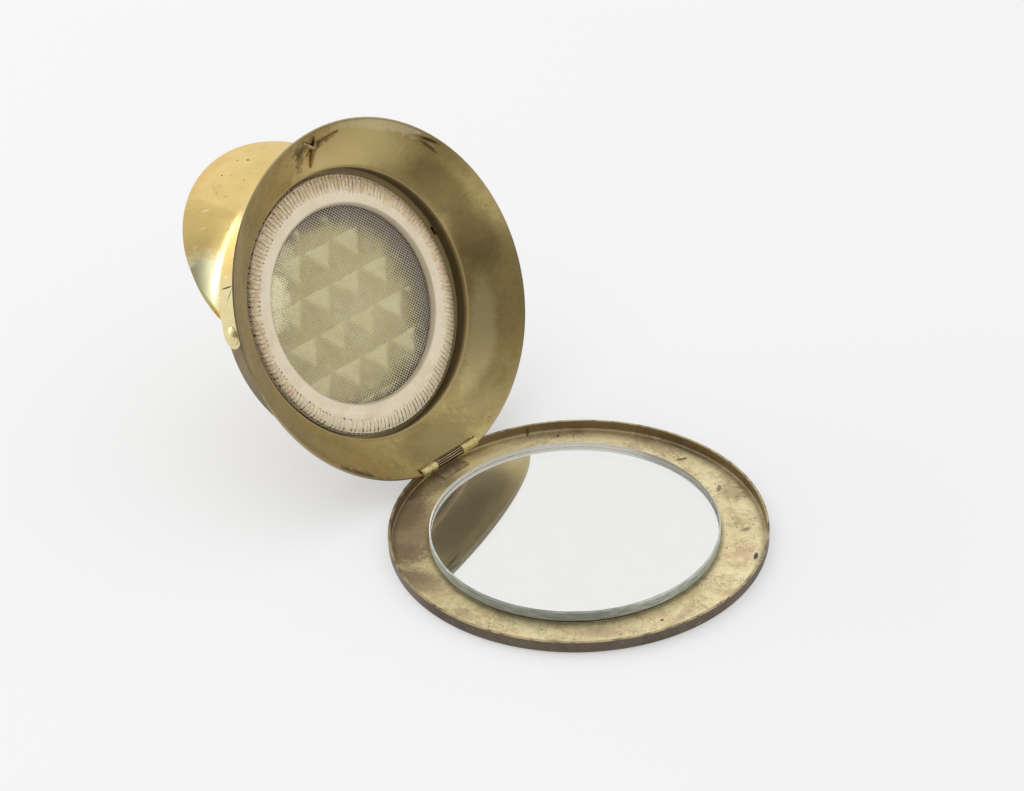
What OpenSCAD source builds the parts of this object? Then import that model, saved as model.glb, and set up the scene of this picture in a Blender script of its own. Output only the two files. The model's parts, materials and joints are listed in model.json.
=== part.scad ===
// Powder compact in the form of a peaked cap, standing open on its crown.
// X runs along the hinge, +Y points to the hinge and Z is up.
// The origin is the centre of the crown disc's outer face.
// The pieces of the cap are drawn as they lie when it is shut, and then swung open.

/* [Lid] */
// Diameter of the crown disc that is the lid
lid_d = 76; // [74:0.5:84]
// Height of the lid's wall
lid_h = 2.7; // [2.4:0.1:3.5]
// Thickness of the lid's sheet
lid_sheet = 0.5; // [0.4:0.05:0.6]
// Rounding of the lid's outer edge
lid_edge_r = 0.8; // [0.7:0.05:0.8]
// Width of the thumb nick in the front of the lid's wall
nick_w = 1.8; // [1:0.1:3]
// Depth of the thumb nick
nick_h = 0.5; // [0.3:0.1:0.8]

/* [Mirror] */
// Distance of the glass's edge from the lid's wall
mirror_margin = 8.4; // [7.5:0.1:12.5]
// Thickness of the glass
mirror_t = 2.2; // [1.5:0.1:3]
// Bevel round the top of the glass
mirror_bevel = 0.3; // [0.1:0.05:0.5]
// Thickness of the silvering and its backing paint
silver_t = 0.1; // [0.1:0.05:0.2]
// Distance that the silvering stops short of the glass's edge
silver_margin = 0.3; // [0.1:0.1:1]
// Thickness of the pad under the mirror
pad_t = 0.15; // [0.1:0.05:0.3]
// Distance that the pad stops short of the glass's edge
pad_margin = 1.6; // [0.5:0.1:4]
// Sideways place of the mirror, which is glued a little off centre
mirror_x = -0.4; // [-0.8:0.1:0.8]
// Place of the mirror towards the hinge
mirror_y = 0.6; // [-0.8:0.1:0.8]

/* [Cap body] */
// Thickness of the cap's sheet
cap_sheet = 0.35; // [0.25:0.05:0.5]
// Clearance of the rim inside the lid's wall
rim_gap = 0.15; // [0.15:0.05:0.4]
// Distance that the rim enters the lid's wall when shut
rim_nest = 0.4; // [0.2:0.1:0.6]
// Height of the flared crown side
crown_h = 8.3; // [7.5:0.1:9.5]
// Bulge of the flared side beyond a straight cone
crown_bulge = 0.3; // [0.1:0.05:0.5]
// Radius of the head band as a share of the rim's
band_share = 0.7765; // [0.775:0.0005:0.83]
// Height of the head band below the crown
band_h = 7.7; // [7.6:0.1:10]
// Length of the crown's collar inside the band
collar_h = 1.8; // [1:0.1:2]
// Thickness of the plate that shuts the band
base_t = 0.3; // [0.2:0.05:0.4]
// Height of the plate's flange inside the band
base_flange_h = 1.2; // [0.8:0.1:1.4]
// Radial gap between soldered or pressed sheets
seat_gap = 0.03; // [0.02:0.01:0.05]

/* [Hinge] */
// Diameter of the hinge pin
pin_d = 1; // [0.8:0.05:1.2]
// Diameter of the knuckles
knuckle_d = 2; // [1.8:0.05:2.3]
// Length of all three knuckles together
hinge_w = 16.3; // [14:0.1:18]
// Length of the lid's knuckle
lid_knuckle_w = 7.2; // [5:0.1:8]
// Distance of the pin inside the rim
pin_inset = 1.3; // [1:0.05:1.5]
// Distance of the pin above the rim's plane when shut
pin_lift = 0.8; // [0.6:0.05:1]
// Angle from shut to fully open
open_angle = 117; // [90:1:118]
// Radial clearance of the pin in the lid's knuckle
pin_run = 0.05; // [0.03:0.01:0.08]
// Radial clearance of the pin in the cap's knuckles
pin_hold = 0.02; // [0.01:0.005:0.03]
// Gap between neighbouring knuckles
knuckle_gap = 0.15; // [0.1:0.05:0.3]
// Clearance round the knuckles in the notches
notch_gap = 0.15; // [0.1:0.05:0.2]
// Thickness of the hinge leaves
leaf_t = 0.4; // [0.3:0.05:0.45]
// Length of the lid leaf's foot on the floor
foot_l = 3.5; // [2:0.1:4.5]
// Height of the cap leaf on the flared side
leaf_h = 3; // [2:0.1:3.5]

/* [Powder well] */
// Depth of the sifter's seat from the rim
seat_depth = 12.35; // [12:0.05:13]
// Width of the seat round the well
seat_w = 4.15; // [3.2:0.05:5.65]
// Depth of the well below the seat
well_h = 2.4; // [2:0.1:2.6]
// Thickness of the well's sheet
well_sheet = 0.25; // [0.2:0.05:0.4]
// Thickness of the embossed plate in the well
plate_t = 0.2; // [0.15:0.05:0.3]
// Clearance of the embossed plate in the well
plate_gap = 0.15; // [0.1:0.05:0.4]
// Height of the embossed pyramids
stud_h = 1.4; // [0.8:0.1:1.6]
// Size of a pyramid along the hinge
stud_x = 6.2; // [4:0.1:8]
// Size of a pyramid across the hinge
stud_y = 7.9; // [4:0.1:8]
// Spacing of the pyramids along the hinge
stud_pitch_x = 8.3; // [8.1:0.1:10]
// Spacing of the pyramid rows
stud_pitch_y = 8.3; // [8.1:0.1:10]
// Place of the middle row from the plate's centre
stud_row_y = -2.4; // [-4:0.1:4]

/* [Sifter] */
// Clearance round the sifter in the crown's collar
sifter_play = 1.47; // [1.27:0.05:2.27]
// Width of the ribbon from the overlocked edge to the gauze
ribbon_w = 4.7; // [3.9:0.1:7.4]
// Height of the sifter from its seat
sifter_h = 1.9; // [1.7:0.05:2.2]
// Thickness of the ribbon binding
ribbon_t = 0.3; // [0.2:0.05:0.35]
// Width of the overlocked edge
stitch_w = 1.4; // [0.8:0.1:1.8]
// Thickness of the stiffening hoop
hoop_t = 0.45; // [0.3:0.05:0.55]
// Clearance round the hoop in its binding
hoop_gap = 0.06; // [0.04:0.01:0.1]
// Thickness of the gauze
gauze_t = 0.12; // [0.1:0.02:0.2]
// Clearance between the sifter's pieces
sifter_gap = 0.05; // [0.03:0.01:0.1]

/* [Visor] */
// Thickness of the visor's sheet
visor_t = 0.4; // [0.3:0.05:0.5]
// Length of the visor down its middle
visor_l = 16.8; // [12:0.2:20]
// Slope of the visor from the plane of the band
visor_slope = 61; // [45:0.5:70]
// Angle from the middle of the visor to each of its ends
visor_reach = 72; // [60:0.5:73]
// Length of the bend below the band's foot
visor_bend_l = 0.6; // [0.4:0.1:1]
// Height of the flange that holds the visor to the band
visor_flange_h = 4.4; // [2:0.1:5]

/* [Chin strap] */
// Width of the strap
strap_w = 5.4; // [4:0.1:5.4]
// Thickness of the strap
strap_t = 0.35; // [0.25:0.05:0.5]
// Distance of the strap's middle from the band's foot
strap_z = 2.75; // [2.7:0.05:2.8]
// Angle from each end of the visor to the strap's rivet
strap_past = 7; // [5:0.5:12]
// Diameter of the rivet heads
rivet_d = 3.9; // [3:0.1:4.4]
// Height of the domed rivet heads
rivet_h = 0.9; // [0.6:0.1:1.2]
// Diameter of the rivet shanks
shank_d = 1.6; // [1.2:0.1:2]
// Thickness of the peened end inside the band
peen_h = 0.35; // [0.2:0.05:0.5]
// Diameter of the peened end
peen_d = 2.4; // [2.2:0.1:2.6]

/* [Badge] */
// Diameter of the plain badge
badge_d = 7.6; // [6:0.2:8]
// Thickness at the badge's edge
badge_t = 0.5; // [0.4:0.1:0.8]
// Height of the badge's dome over its edge
badge_dome = 0.7; // [0.4:0.1:1]
// Diameter of the badge's stem
stem_d = 1.4; // [1:0.1:2]
// Width of the solder's arms at their root, inside the crown
solder_w = 0.9; // [0.6:0.1:1.4]
// Width of the arms at their tips
solder_tip_w = 0.4; // [0.2:0.1:0.6]
// Length of the longest arm
solder_l = 6.5; // [3:0.1:7]

/* [Hidden] */
$fn = 160;
fine_fn = 48;
arm_fn = 16;
eps = 0.02;
curve_steps = 10;
outline_steps = 24;

lid_r = lid_d / 2;
lid_in_r = lid_r - lid_sheet;
mirror_r = lid_in_r - mirror_margin;
pad_z = lid_sheet;
silver_z = pad_z + pad_t;
glass_z = silver_z + silver_t;

rim_r = lid_in_r - rim_gap;
rim_z = lid_h - rim_nest;
band_r = rim_r * band_share;
band_in_r = band_r - cap_sheet;
band_z = rim_z + crown_h;
foot_z = band_z + band_h;
collar_r = band_in_r - seat_gap;
collar_in_r = collar_r - cap_sheet;

knuckle_r = knuckle_d / 2;
pin_r = pin_d / 2;
pin_y = rim_r - pin_inset;
pin_z = rim_z + pin_lift;
notch_r = knuckle_r + notch_gap;
notch_w = hinge_w + 2 * notch_gap;
lid_slot_w = lid_knuckle_w + 2 * knuckle_gap;
cap_knuckle_w = (hinge_w - lid_slot_w) / 2;
lid_notch_z = pin_z - knuckle_r - 2 * notch_gap;
leaf_angle = 2 * asin(hinge_w / 2 / rim_r);

seat_z = rim_z + seat_depth;
well_r = band_in_r - seat_w;
well_floor_z = seat_z + well_h;
plate_r = well_r - plate_gap;
plate_top_z = well_floor_z - seat_gap - plate_t;

sifter_r = collar_in_r - sifter_play;
stitch_r = sifter_r - stitch_w;
gauze_r = stitch_r - ribbon_w;
sifter_foot_z = seat_z - sifter_gap;
sifter_top_z = sifter_foot_z - sifter_h;
hoop_z = sifter_top_z + ribbon_t + hoop_gap;
binding_h = 2 * ribbon_t + 2 * hoop_gap + hoop_t;
fold_r = gauze_r + binding_h / 2;
gauze_z = sifter_top_z + binding_h + sifter_gap;

visor_in_r = band_r + seat_gap;
visor_out_r = visor_in_r + visor_t;
visor_bend_z = foot_z;
visor_z = visor_bend_z + visor_bend_l;
visor_flange_z = visor_bend_z - visor_flange_h;
visor_tip_r = visor_in_r + visor_l * cos(visor_slope);
visor_tip_z = visor_z + visor_l * sin(visor_slope);
visor_taper_share = 0.93;

strap_in_r = visor_out_r + seat_gap;
strap_out_r = strap_in_r + strap_t;
strap_mid_z = foot_z - strap_z;
strap_reach = visor_reach + strap_past;

// Share of the pitch by which each row of pyramids stands to one side, from the front
stud_row_shares = [0.4, 0.9, 0.4, 0.4, 0.4];

crown_slope = atan2(crown_h, rim_r - band_r);
crown_l = norm([crown_h, rim_r - band_r]);
badge_place_share = 0.42;
badge_r = badge_d / 2;
// The solder's arms, along the hinge and towards the rim, as shares of its longest arm
solder_arm_shares = [[0.94, 0.34], [-0.55, 0.48], [0.02, -0.8], [-0.03, 0.45]];

brass_dark = "#8a8158";
brass_mid = "#a3935e";
brass_light = "#cfc07c";
brass_dull = "#7b6d58";
ribbon_colour = "#dccdb4";

// A point on the flared side, from the rim at s = 0 to the band at s = 1, moved out by lift
function crown_point(s, lift) =
    let (bulge = 4 * s * (1 - s) * crown_bulge + lift)
    [rim_r + s * (band_r - rim_r) + bulge * sin(crown_slope),
     rim_z + s * crown_h + bulge * cos(crown_slope)];

// A run of such points
function crown_line(from_s, to_s, lift) =
    [for (i = [0 : curve_steps]) crown_point(from_s + (to_s - from_s) * i / curve_steps, lift)];

// A strip along the flared side, between two lifts
function crown_strip(from_s, to_s, inner, outer) =
    concat(crown_line(from_s, to_s, outer), crown_line(to_s, from_s, inner));

// Points on an arc about a centre
function arc(centre, radius, from_angle, to_angle) =
    [for (i = [0 : curve_steps])
        let (angle = from_angle + (to_angle - from_angle) * i / curve_steps)
        [centre[0] + radius * cos(angle), centre[1] + radius * sin(angle)]];

// Length of the visor at an angle from its middle
function visor_length(angle) = visor_l * pow(cos(90 * angle / visor_reach), visor_taper_share);

// Swings what is drawn shut into the open pose
module opened() {
    translate([0, pin_y, pin_z])
        rotate([-open_angle, 0, 0])
            translate([0, -pin_y, -pin_z])
                children();
}

// A solid rod along the hinge
module hinge_rod(width, radius) {
    translate([0, pin_y, pin_z])
        rotate([0, 90, 0])
            cylinder(h = width, r = radius, center = true, $fn = fine_fn);
}

module crown_lid() {
    edge = lid_r - lid_edge_r;
    color(brass_mid)
        difference() {
            rotate_extrude()
                polygon(concat(
                    [[0, 0]],
                    arc([edge, lid_edge_r], lid_edge_r, -90, 0),
                    [[lid_r, lid_h], [lid_in_r, lid_h]],
                    arc([edge, lid_edge_r], lid_edge_r - lid_sheet, 0, -90),
                    [[0, lid_sheet]]
                ));
            translate([-notch_w / 2, pin_y - knuckle_r, lid_notch_z])
                cube([notch_w, lid_r, lid_h]);
            translate([0, eps - lid_in_r, lid_h])
                rotate([90, 0, 0])
                    linear_extrude(lid_sheet * 2)
                        polygon([[-nick_w / 2, eps], [0, -nick_h], [nick_w / 2, eps]]);
        }
}

module mirror_pad() {
    color("#4a443c")
        translate([mirror_x, mirror_y, pad_z])
            cylinder(h = pad_t, r = mirror_r - pad_margin);
}

module mirror_silvering() {
    color("#dfe4e4")
        translate([mirror_x, mirror_y, silver_z])
            cylinder(h = silver_t, r = mirror_r - silver_margin);
}

module mirror_glass() {
    color("#b9cfc8")
        translate([mirror_x, mirror_y, glass_z])
            rotate_extrude()
                polygon([
                    [0, 0], [mirror_r, 0], [mirror_r, mirror_t - mirror_bevel],
                    [mirror_r - mirror_bevel, mirror_t], [0, mirror_t]
                ]);
}

// The middle knuckle, on a tab that stands up from a foot soldered to the lid's floor
module hinge_lid_leaf() {
    tab_y = pin_y + knuckle_r - leaf_t - eps;
    color(brass_dull)
        difference() {
            union() {
                hinge_rod(lid_knuckle_w, knuckle_r);
                translate([-lid_knuckle_w / 2, tab_y, lid_sheet])
                    cube([lid_knuckle_w, leaf_t, pin_z - lid_sheet]);
                translate([-lid_knuckle_w / 2, tab_y + leaf_t - foot_l, lid_sheet])
                    cube([lid_knuckle_w, foot_l, leaf_t]);
            }
            hinge_rod(hinge_w, pin_r + pin_run);
        }
}

module hinge_pin() {
    color(brass_light)
        hinge_rod(hinge_w, pin_r);
}

// The two outer knuckles, on a leaf that is soldered to the outside of the flared side
module hinge_cap_leaf() {
    foot_share = pin_lift / crown_h;
    end_share = (pin_lift + knuckle_r + leaf_h) / crown_h;
    bridge_z = pin_z + knuckle_r + 2 * notch_gap + leaf_t;
    color(brass_dull)
        opened()
            difference() {
                union() {
                    rotate([0, 0, 90 - leaf_angle / 2])
                        rotate_extrude(angle = leaf_angle)
                            polygon(crown_strip(foot_share, end_share, seat_gap, seat_gap + leaf_t));
                    for (side = [-1, 1])
                        translate([side * (hinge_w - cap_knuckle_w) / 2, 0, 0])
                            hinge_rod(cap_knuckle_w, knuckle_r);
                }
                translate([-lid_slot_w / 2, 0, 0])
                    cube([lid_slot_w, lid_d, bridge_z]);
                hinge_rod(2 * hinge_w, pin_r + pin_hold);
            }
}

// Room for the knuckles in the rim of the flared side
module hinge_notch() {
    hinge_rod(notch_w, notch_r);
    translate([-notch_w / 2, pin_y - notch_r, 0])
        cube([notch_w, lid_d, pin_z]);
}

// The flared side, with a collar that drops into the head band
module crown_bowl() {
    root = crown_point(1, -cap_sheet);
    corner_z = root[1] + (root[0] - collar_in_r) * tan(crown_slope);
    color(brass_dark)
        opened()
            difference() {
                rotate_extrude()
                    polygon(concat(
                        crown_line(0, 1, 0),
                        [[collar_r, band_z], [collar_r, band_z + collar_h]],
                        [[collar_in_r, band_z + collar_h], [collar_in_r, corner_z]],
                        crown_line(1, 0, -cap_sheet)
                    ));
                hinge_notch();
                badge_place()
                    cylinder(h = 4 * cap_sheet, r = stem_d / 2 + seat_gap, center = true, $fn = fine_fn);
            }
}

module cap_band() {
    color(brass_dark)
        opened()
            difference() {
                translate([0, 0, band_z + eps])
                    cylinder(h = band_h - eps, r = band_r);
                translate([0, 0, band_z])
                    cylinder(h = band_h + eps, r = band_in_r);
                for (side = [-1, 1])
                    rivet_place(side)
                        cylinder(h = lid_r, r = shank_d / 2 + seat_gap, $fn = fine_fn);
            }
}

// The plate that shuts the band's foot, with a flange turned up inside the band
module base_plate() {
    base_r = band_in_r - seat_gap;
    color(brass_mid)
        opened()
            translate([0, 0, foot_z])
                rotate_extrude()
                    polygon([
                        [0, -base_t], [base_r - base_t, -base_t],
                        [base_r - base_t, -base_flange_h], [base_r, -base_flange_h],
                        [base_r, 0], [0, 0]
                    ]);
}

// The powder cup, hung in the band by its lip, which is cut away at the rivets
module powder_well() {
    lip_r = band_in_r - seat_gap;
    wall_r = well_r + well_sheet;
    color(brass_light)
        opened()
            difference() {
                translate([0, 0, seat_z])
                    rotate_extrude()
                        polygon([
                            [well_r, 0], [lip_r, 0], [lip_r, well_sheet], [wall_r, well_sheet],
                            [wall_r, well_h + well_sheet], [0, well_h + well_sheet],
                            [0, well_h], [well_r, well_h]
                        ]);
                for (side = [-1, 1])
                    rivet_place(side)
                        translate([0, 0, band_in_r - 2 * peen_h])
                            cylinder(h = lid_r, r = peen_d / 2 + plate_gap, $fn = fine_fn);
            }
}

// The plate in the well, pressed into rows of pyramids
module embossed_plate() {
    color(brass_light)
        opened()
            translate([0, 0, plate_top_z])
                difference() {
                    union() {
                        cylinder(h = plate_t, r = plate_r);
                        translate([0, 0, eps])
                            pyramids();
                    }
                    translate([0, 0, plate_t + eps])
                        pyramids();
                }
}

module pyramids() {
    rows = len(stud_row_shares);
    columns = ceil(plate_r / stud_pitch_x);
    corner_r = norm([stud_x, stud_y]) / 2;
    for (row = [0 : rows - 1])
        for (column = [-columns : columns])
            let (
                x = (column + stud_row_shares[row]) * stud_pitch_x,
                y = (row - floor(rows / 2)) * stud_pitch_y + stud_row_y
            )
                if (norm([x, y]) + corner_r < plate_r)
                    translate([x, y, 0])
                        pyramid();
}

module pyramid() {
    polyhedron(
        points = [
            [-stud_x / 2, -stud_y / 2, 0], [stud_x / 2, -stud_y / 2, 0],
            [stud_x / 2, stud_y / 2, 0], [-stud_x / 2, stud_y / 2, 0], [0, 0, -stud_h]
        ],
        faces = [[3, 2, 1, 0], [0, 1, 4], [1, 2, 4], [2, 3, 4], [3, 0, 4]]
    );
}

// The sloped sheet, with a bend up to the flange that is soldered to the band
module visor() {
    turn = 90 - visor_slope;
    bend_r = visor_bend_l / tan(turn / 2);
    bend_centre = [visor_in_r + bend_r, visor_bend_z];
    tip_out_r = visor_tip_r + visor_t * sin(visor_slope);
    tip_out_z = visor_tip_z - visor_t * cos(visor_slope);
    side_x = visor_in_r * sin(visor_reach);
    outline = [for (i = [-outline_steps : outline_steps])
        let (angle = visor_reach * i / outline_steps, reach = visor_length(abs(angle)))
        [(visor_in_r + reach * cos(visor_slope)) * sin(angle), visor_z + reach * sin(visor_slope)]];
    color(brass_light)
        opened()
            intersection() {
                rotate_extrude()
                    polygon(concat(
                        [[visor_out_r, visor_flange_z], [visor_in_r, visor_flange_z]],
                        arc(bend_centre, bend_r, 180, 180 - turn),
                        [[visor_tip_r, visor_tip_z], [tip_out_r, tip_out_z]],
                        arc(bend_centre, bend_r - visor_t, 180 - turn, 180)
                    ));
                rotate([90, 0, 0])
                    linear_extrude(lid_d)
                        polygon(concat(
                            [[-side_x, visor_flange_z - eps]], outline, [[side_x, visor_flange_z - eps]]
                        ));
            }
}

// Stands a piece at a rivet, with Z out of the band
module rivet_place(side) {
    translate([0, 0, strap_mid_z])
        rotate([0, 0, side * strap_reach - 90])
            rotate([0, 90, 0])
                children();
}

// The strap round the visor's root, with round ends under the rivets
module chin_strap() {
    side_x = lid_d * sin(strap_reach);
    side_y = -lid_d * cos(strap_reach);
    color(brass_light)
        opened()
            difference() {
                intersection() {
                    translate([0, 0, strap_mid_z - strap_w])
                        difference() {
                            cylinder(h = 2 * strap_w, r = strap_out_r);
                            translate([0, 0, -eps])
                                cylinder(h = 2 * (strap_w + eps), r = strap_in_r);
                        }
                    union() {
                        translate([0, 0, strap_mid_z - strap_w / 2])
                            linear_extrude(strap_w)
                                polygon([
                                    [0, 0], [-side_x, side_y], [-side_x, -lid_d],
                                    [side_x, -lid_d], [side_x, side_y]
                                ]);
                        for (end = [-1, 1])
                            rivet_place(end)
                                cylinder(h = lid_r, r = strap_w / 2, $fn = fine_fn);
                    }
                }
                for (end = [-1, 1])
                    rivet_place(end)
                        cylinder(h = lid_r, r = shank_d / 2 + seat_gap, $fn = fine_fn);
            }
}

// A dome whose rim lies on the plane it stands on
module dome(radius, height) {
    ball_r = (pow(radius, 2) + pow(height, 2)) / (2 * height);
    intersection() {
        translate([0, 0, height - ball_r])
            sphere(r = ball_r, $fn = fine_fn);
        cylinder(h = 2 * height, r = 2 * radius);
    }
}

// The domed side buttons, each peened over inside the band
module strap_rivets() {
    head_z = strap_out_r + seat_gap;
    peen_z = band_in_r - seat_gap - peen_h;
    color(brass_light)
        opened()
            for (side = [-1, 1])
                rivet_place(side) {
                    translate([0, 0, head_z])
                        dome(rivet_d / 2, rivet_h);
                    translate([0, 0, peen_z])
                        cylinder(h = head_z + rivet_h / 2 - peen_z, r = shank_d / 2, $fn = fine_fn);
                    translate([0, 0, peen_z])
                        cylinder(h = peen_h, r = peen_d / 2, $fn = fine_fn);
                }
}

// Stands a piece on the front of the flared side, with Z out of it and Y towards the rim
module badge_place() {
    spot = crown_point(badge_place_share, 0);
    translate([0, -spot[0], spot[1]])
        rotate([crown_slope, 0, 0])
            rotate([0, 0, 180])
                children();
}

// A plain domed disc, with a stem through the flared side
module cap_badge() {
    color(brass_light)
        opened()
            badge_place() {
                translate([0, 0, seat_gap])
                    cylinder(h = badge_t, r = badge_r);
                translate([0, 0, seat_gap + badge_t - eps])
                    dome(badge_r, badge_dome);
                translate([0, 0, -cap_sheet])
                    cylinder(h = cap_sheet + badge_t, r = stem_d / 2, $fn = fine_fn);
            }
}

// A point near the flared side, so far along the hinge and towards the rim from the badge
function badge_point(across, up, lift) =
    let (
        spot = crown_point(badge_place_share - up / crown_l, lift),
        angle = across / spot[0] * 180 / PI
    )
    [spot[0] * sin(angle), -spot[0] * cos(angle), spot[1]];

// A drop of solder on the inside of the flared side
module solder_drop(across, up, width) {
    translate(badge_point(across, up, -cap_sheet - seat_gap - width / 2))
        sphere(r = width / 2, $fn = arm_fn);
}

// The solder that holds the badge's stem, run out into ragged arms
module badge_solder() {
    color(brass_dull)
        opened()
            for (arm = solder_arm_shares * solder_l)
                hull() {
                    solder_drop(0, 0, solder_w);
                    solder_drop(arm[0], arm[1], solder_tip_w);
                }
}

module sifter_hoop() {
    color("#b5a27a")
        opened()
            translate([0, 0, hoop_z])
                difference() {
                    cylinder(h = hoop_t, r = stitch_r - hoop_gap);
                    translate([0, 0, -eps])
                        cylinder(h = hoop_t + 2 * eps, r = fold_r);
                }
}

// The ribbon, folded round the hoop and open at its outer edge
module sifter_binding() {
    fold = [fold_r, sifter_top_z + binding_h / 2];
    color(ribbon_colour)
        opened()
            rotate_extrude()
                polygon(concat(
                    [[stitch_r, sifter_top_z]],
                    arc(fold, binding_h / 2, 270, 90),
                    [[stitch_r, sifter_top_z + binding_h]],
                    [[stitch_r, sifter_top_z + binding_h - ribbon_t]],
                    arc(fold, binding_h / 2 - ribbon_t, 90, 270),
                    [[stitch_r, sifter_top_z + ribbon_t]]
                ));
}

// The overlocked edge, on which the sifter sits
module sifter_stitching() {
    bead = (sifter_r - stitch_r - sifter_gap) / 2;
    mid_r = sifter_r - bead;
    color(ribbon_colour)
        opened()
            rotate_extrude()
                polygon(concat(
                    arc([mid_r, sifter_top_z + bead], bead, 180, 360),
                    arc([mid_r, sifter_foot_z - bead], bead, 0, 180)
                ));
}

module sifter_gauze() {
    color("#b4ab8c")
        opened()
            translate([0, 0, gauze_z])
                cylinder(h = gauze_t, r = stitch_r);
}

crown_lid();
mirror_pad();
mirror_silvering();
mirror_glass();
hinge_lid_leaf();
hinge_pin();
hinge_cap_leaf();
crown_bowl();
cap_band();
base_plate();
powder_well();
embossed_plate();
visor();
chin_strap();
strap_rivets();
cap_badge();
badge_solder();
sifter_hoop();
sifter_binding();
sifter_stitching();
sifter_gauze();
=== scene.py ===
import json
import random
from math import acos, atan2, cos, hypot, pi, radians, sin, sqrt

import bpy
from mathutils import Matrix, Vector, noise


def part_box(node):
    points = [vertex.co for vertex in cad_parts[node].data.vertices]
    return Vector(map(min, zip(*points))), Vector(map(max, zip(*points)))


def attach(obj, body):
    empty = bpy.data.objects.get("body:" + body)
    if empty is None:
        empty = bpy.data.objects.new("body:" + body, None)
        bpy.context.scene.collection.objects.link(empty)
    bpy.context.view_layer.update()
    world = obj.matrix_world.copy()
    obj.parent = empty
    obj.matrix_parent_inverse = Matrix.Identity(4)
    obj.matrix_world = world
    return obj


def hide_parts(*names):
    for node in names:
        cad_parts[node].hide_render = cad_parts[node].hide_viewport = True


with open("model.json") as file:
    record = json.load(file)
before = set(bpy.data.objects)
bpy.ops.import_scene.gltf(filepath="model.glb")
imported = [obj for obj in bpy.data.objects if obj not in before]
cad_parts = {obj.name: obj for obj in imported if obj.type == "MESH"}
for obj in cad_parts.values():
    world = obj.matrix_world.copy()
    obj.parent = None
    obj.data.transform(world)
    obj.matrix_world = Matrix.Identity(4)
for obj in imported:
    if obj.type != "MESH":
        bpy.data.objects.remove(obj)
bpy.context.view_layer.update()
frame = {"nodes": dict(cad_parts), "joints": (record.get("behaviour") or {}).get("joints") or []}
scene = bpy.context.scene
mm = 0.001
print("frame loaded")

# The pieces of the cap are worked out as they lie when it is shut, and then swung open
hinge = next(joint for joint in frame["joints"] if joint["name"] == "lid_hinge")
pin = Vector(hinge["pos_m"])
openAngle = radians(hinge["range_deg"][1])
openTurn = Matrix.Translation(pin) @ Matrix.Rotation(-openAngle, 4, "X") @ Matrix.Translation(-pin)

# Main sizes of the CAD model, in mm, as the cap lies shut
lidShape = dict(radius=38.0, height=2.7)
capShape = dict(rimRadius=37.35, rimZ=2.3, bandRadius=29.0, crownHeight=8.3, bulge=0.3)

# The node tree that the helpers below add to
building = {}


def feed(node, inputs):
    for key, value in inputs.items():
        if isinstance(value, bpy.types.NodeSocket):
            building["tree"].links.new(value, node.inputs[key])
        else:
            node.inputs[key].default_value = value


def addNode(kind, inputs=None, **settings):
    node = building["tree"].nodes.new("ShaderNode" + kind)
    for key, value in settings.items():
        setattr(node, key, value)
    feed(node, inputs or {})
    return node.outputs


def maths(operation, *values):
    return addNode("Math", dict(enumerate(values)), operation=operation)[0]


def chained(operation, values):
    total = values[0]
    for value in values[1:]:
        total = maths(operation, total, value)
    return total


def plus(*values):
    return chained("ADD", values)


def times(*values):
    return chained("MULTIPLY", values)


def most(*values):
    return chained("MAXIMUM", values)


def minus(first, second):
    return maths("SUBTRACT", first, second)


def rest(share):
    return minus(1.0, share)


def clamped(value):
    return addNode("Clamp", {0: value})[0]


# Softly from 0 at low to 1 at high. Where low is the larger of the two, it falls instead
def ease(value, low, high):
    inputs = {"Value": value, "From Min": low, "From Max": high}
    return addNode("MapRange", inputs, interpolation_type="SMOOTHSTEP")[0]


def mixed(share, first, second):
    return addNode("Mix", {0: share, 6: first, 7: second}, data_type="RGBA")[2]


# Lays a paint over a colour, by its own share, where a mask says so
def laid(colour, where, tint, share):
    return mixed(times(where, share), colour, tint)


def split(vector):
    return list(addNode("SeparateXYZ", {0: vector}))


def joined(x, y, z=0.0):
    return addNode("CombineXYZ", {0: x, 1: y, 2: z})[0]


def vectorMaths(operation, first, second):
    return addNode("VectorMath", {0: first, 1: second}, operation=operation)[0]


def scaled(vector, factor):
    return addNode("VectorMath", {0: vector, "Scale": factor}, operation="SCALE")[0]


def length(vector):
    return addNode("VectorMath", {0: vector}, operation="LENGTH")[1]


def along(vector, direction):
    return addNode("VectorMath", {0: vector, 1: direction}, operation="DOT_PRODUCT")[1]


# How far a place lies from an upright axis
def fromAxis(place, axis=(0, 0, 0)):
    return length(vectorMaths("MULTIPLY", vectorMaths("SUBTRACT", place, axis), (1, 1, 0)))


def placeInMm():
    return scaled(addNode("TexCoord")["Object"], 1 / mm)


def cloudNoise(place, scale, detail=4.0, roughness=0.55, distortion=0.0):
    inputs = {"Vector": place, "Scale": scale, "Detail": detail, "Roughness": roughness, "Distortion": distortion}
    return addNode("TexNoise", inputs)[0]


# Noise around 0, this far out at most
def wander(amount, *noiseSettings):
    return times(minus(cloudNoise(*noiseSettings), 0.5), amount)


# Screen values from 0 to 255, as the linear colour that Blender takes
def paint(red, green, blue):
    return tuple(((c / 255 + 0.055) / 1.055) ** 2.4 if c > 10 else c / 255 / 12.92 for c in (red, green, blue)) + (1.0,)


def newGroup(name, inputs, outputs):
    tree = bpy.data.node_groups.new(name, "ShaderNodeTree")
    for way, labels in (("INPUT", inputs), ("OUTPUT", outputs)):
        for label, kind in labels.items():
            tree.interface.new_socket(label, in_out=way, socket_type="NodeSocket" + kind)
    building["tree"] = tree
    return tree, tree.nodes.new("NodeGroupInput").outputs


def endGroup(tree, results):
    feed(tree.nodes.new("NodeGroupOutput"), results)
    return tree


def useGroup(group, inputs=None):
    return addNode("Group", inputs, node_tree=group)


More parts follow.
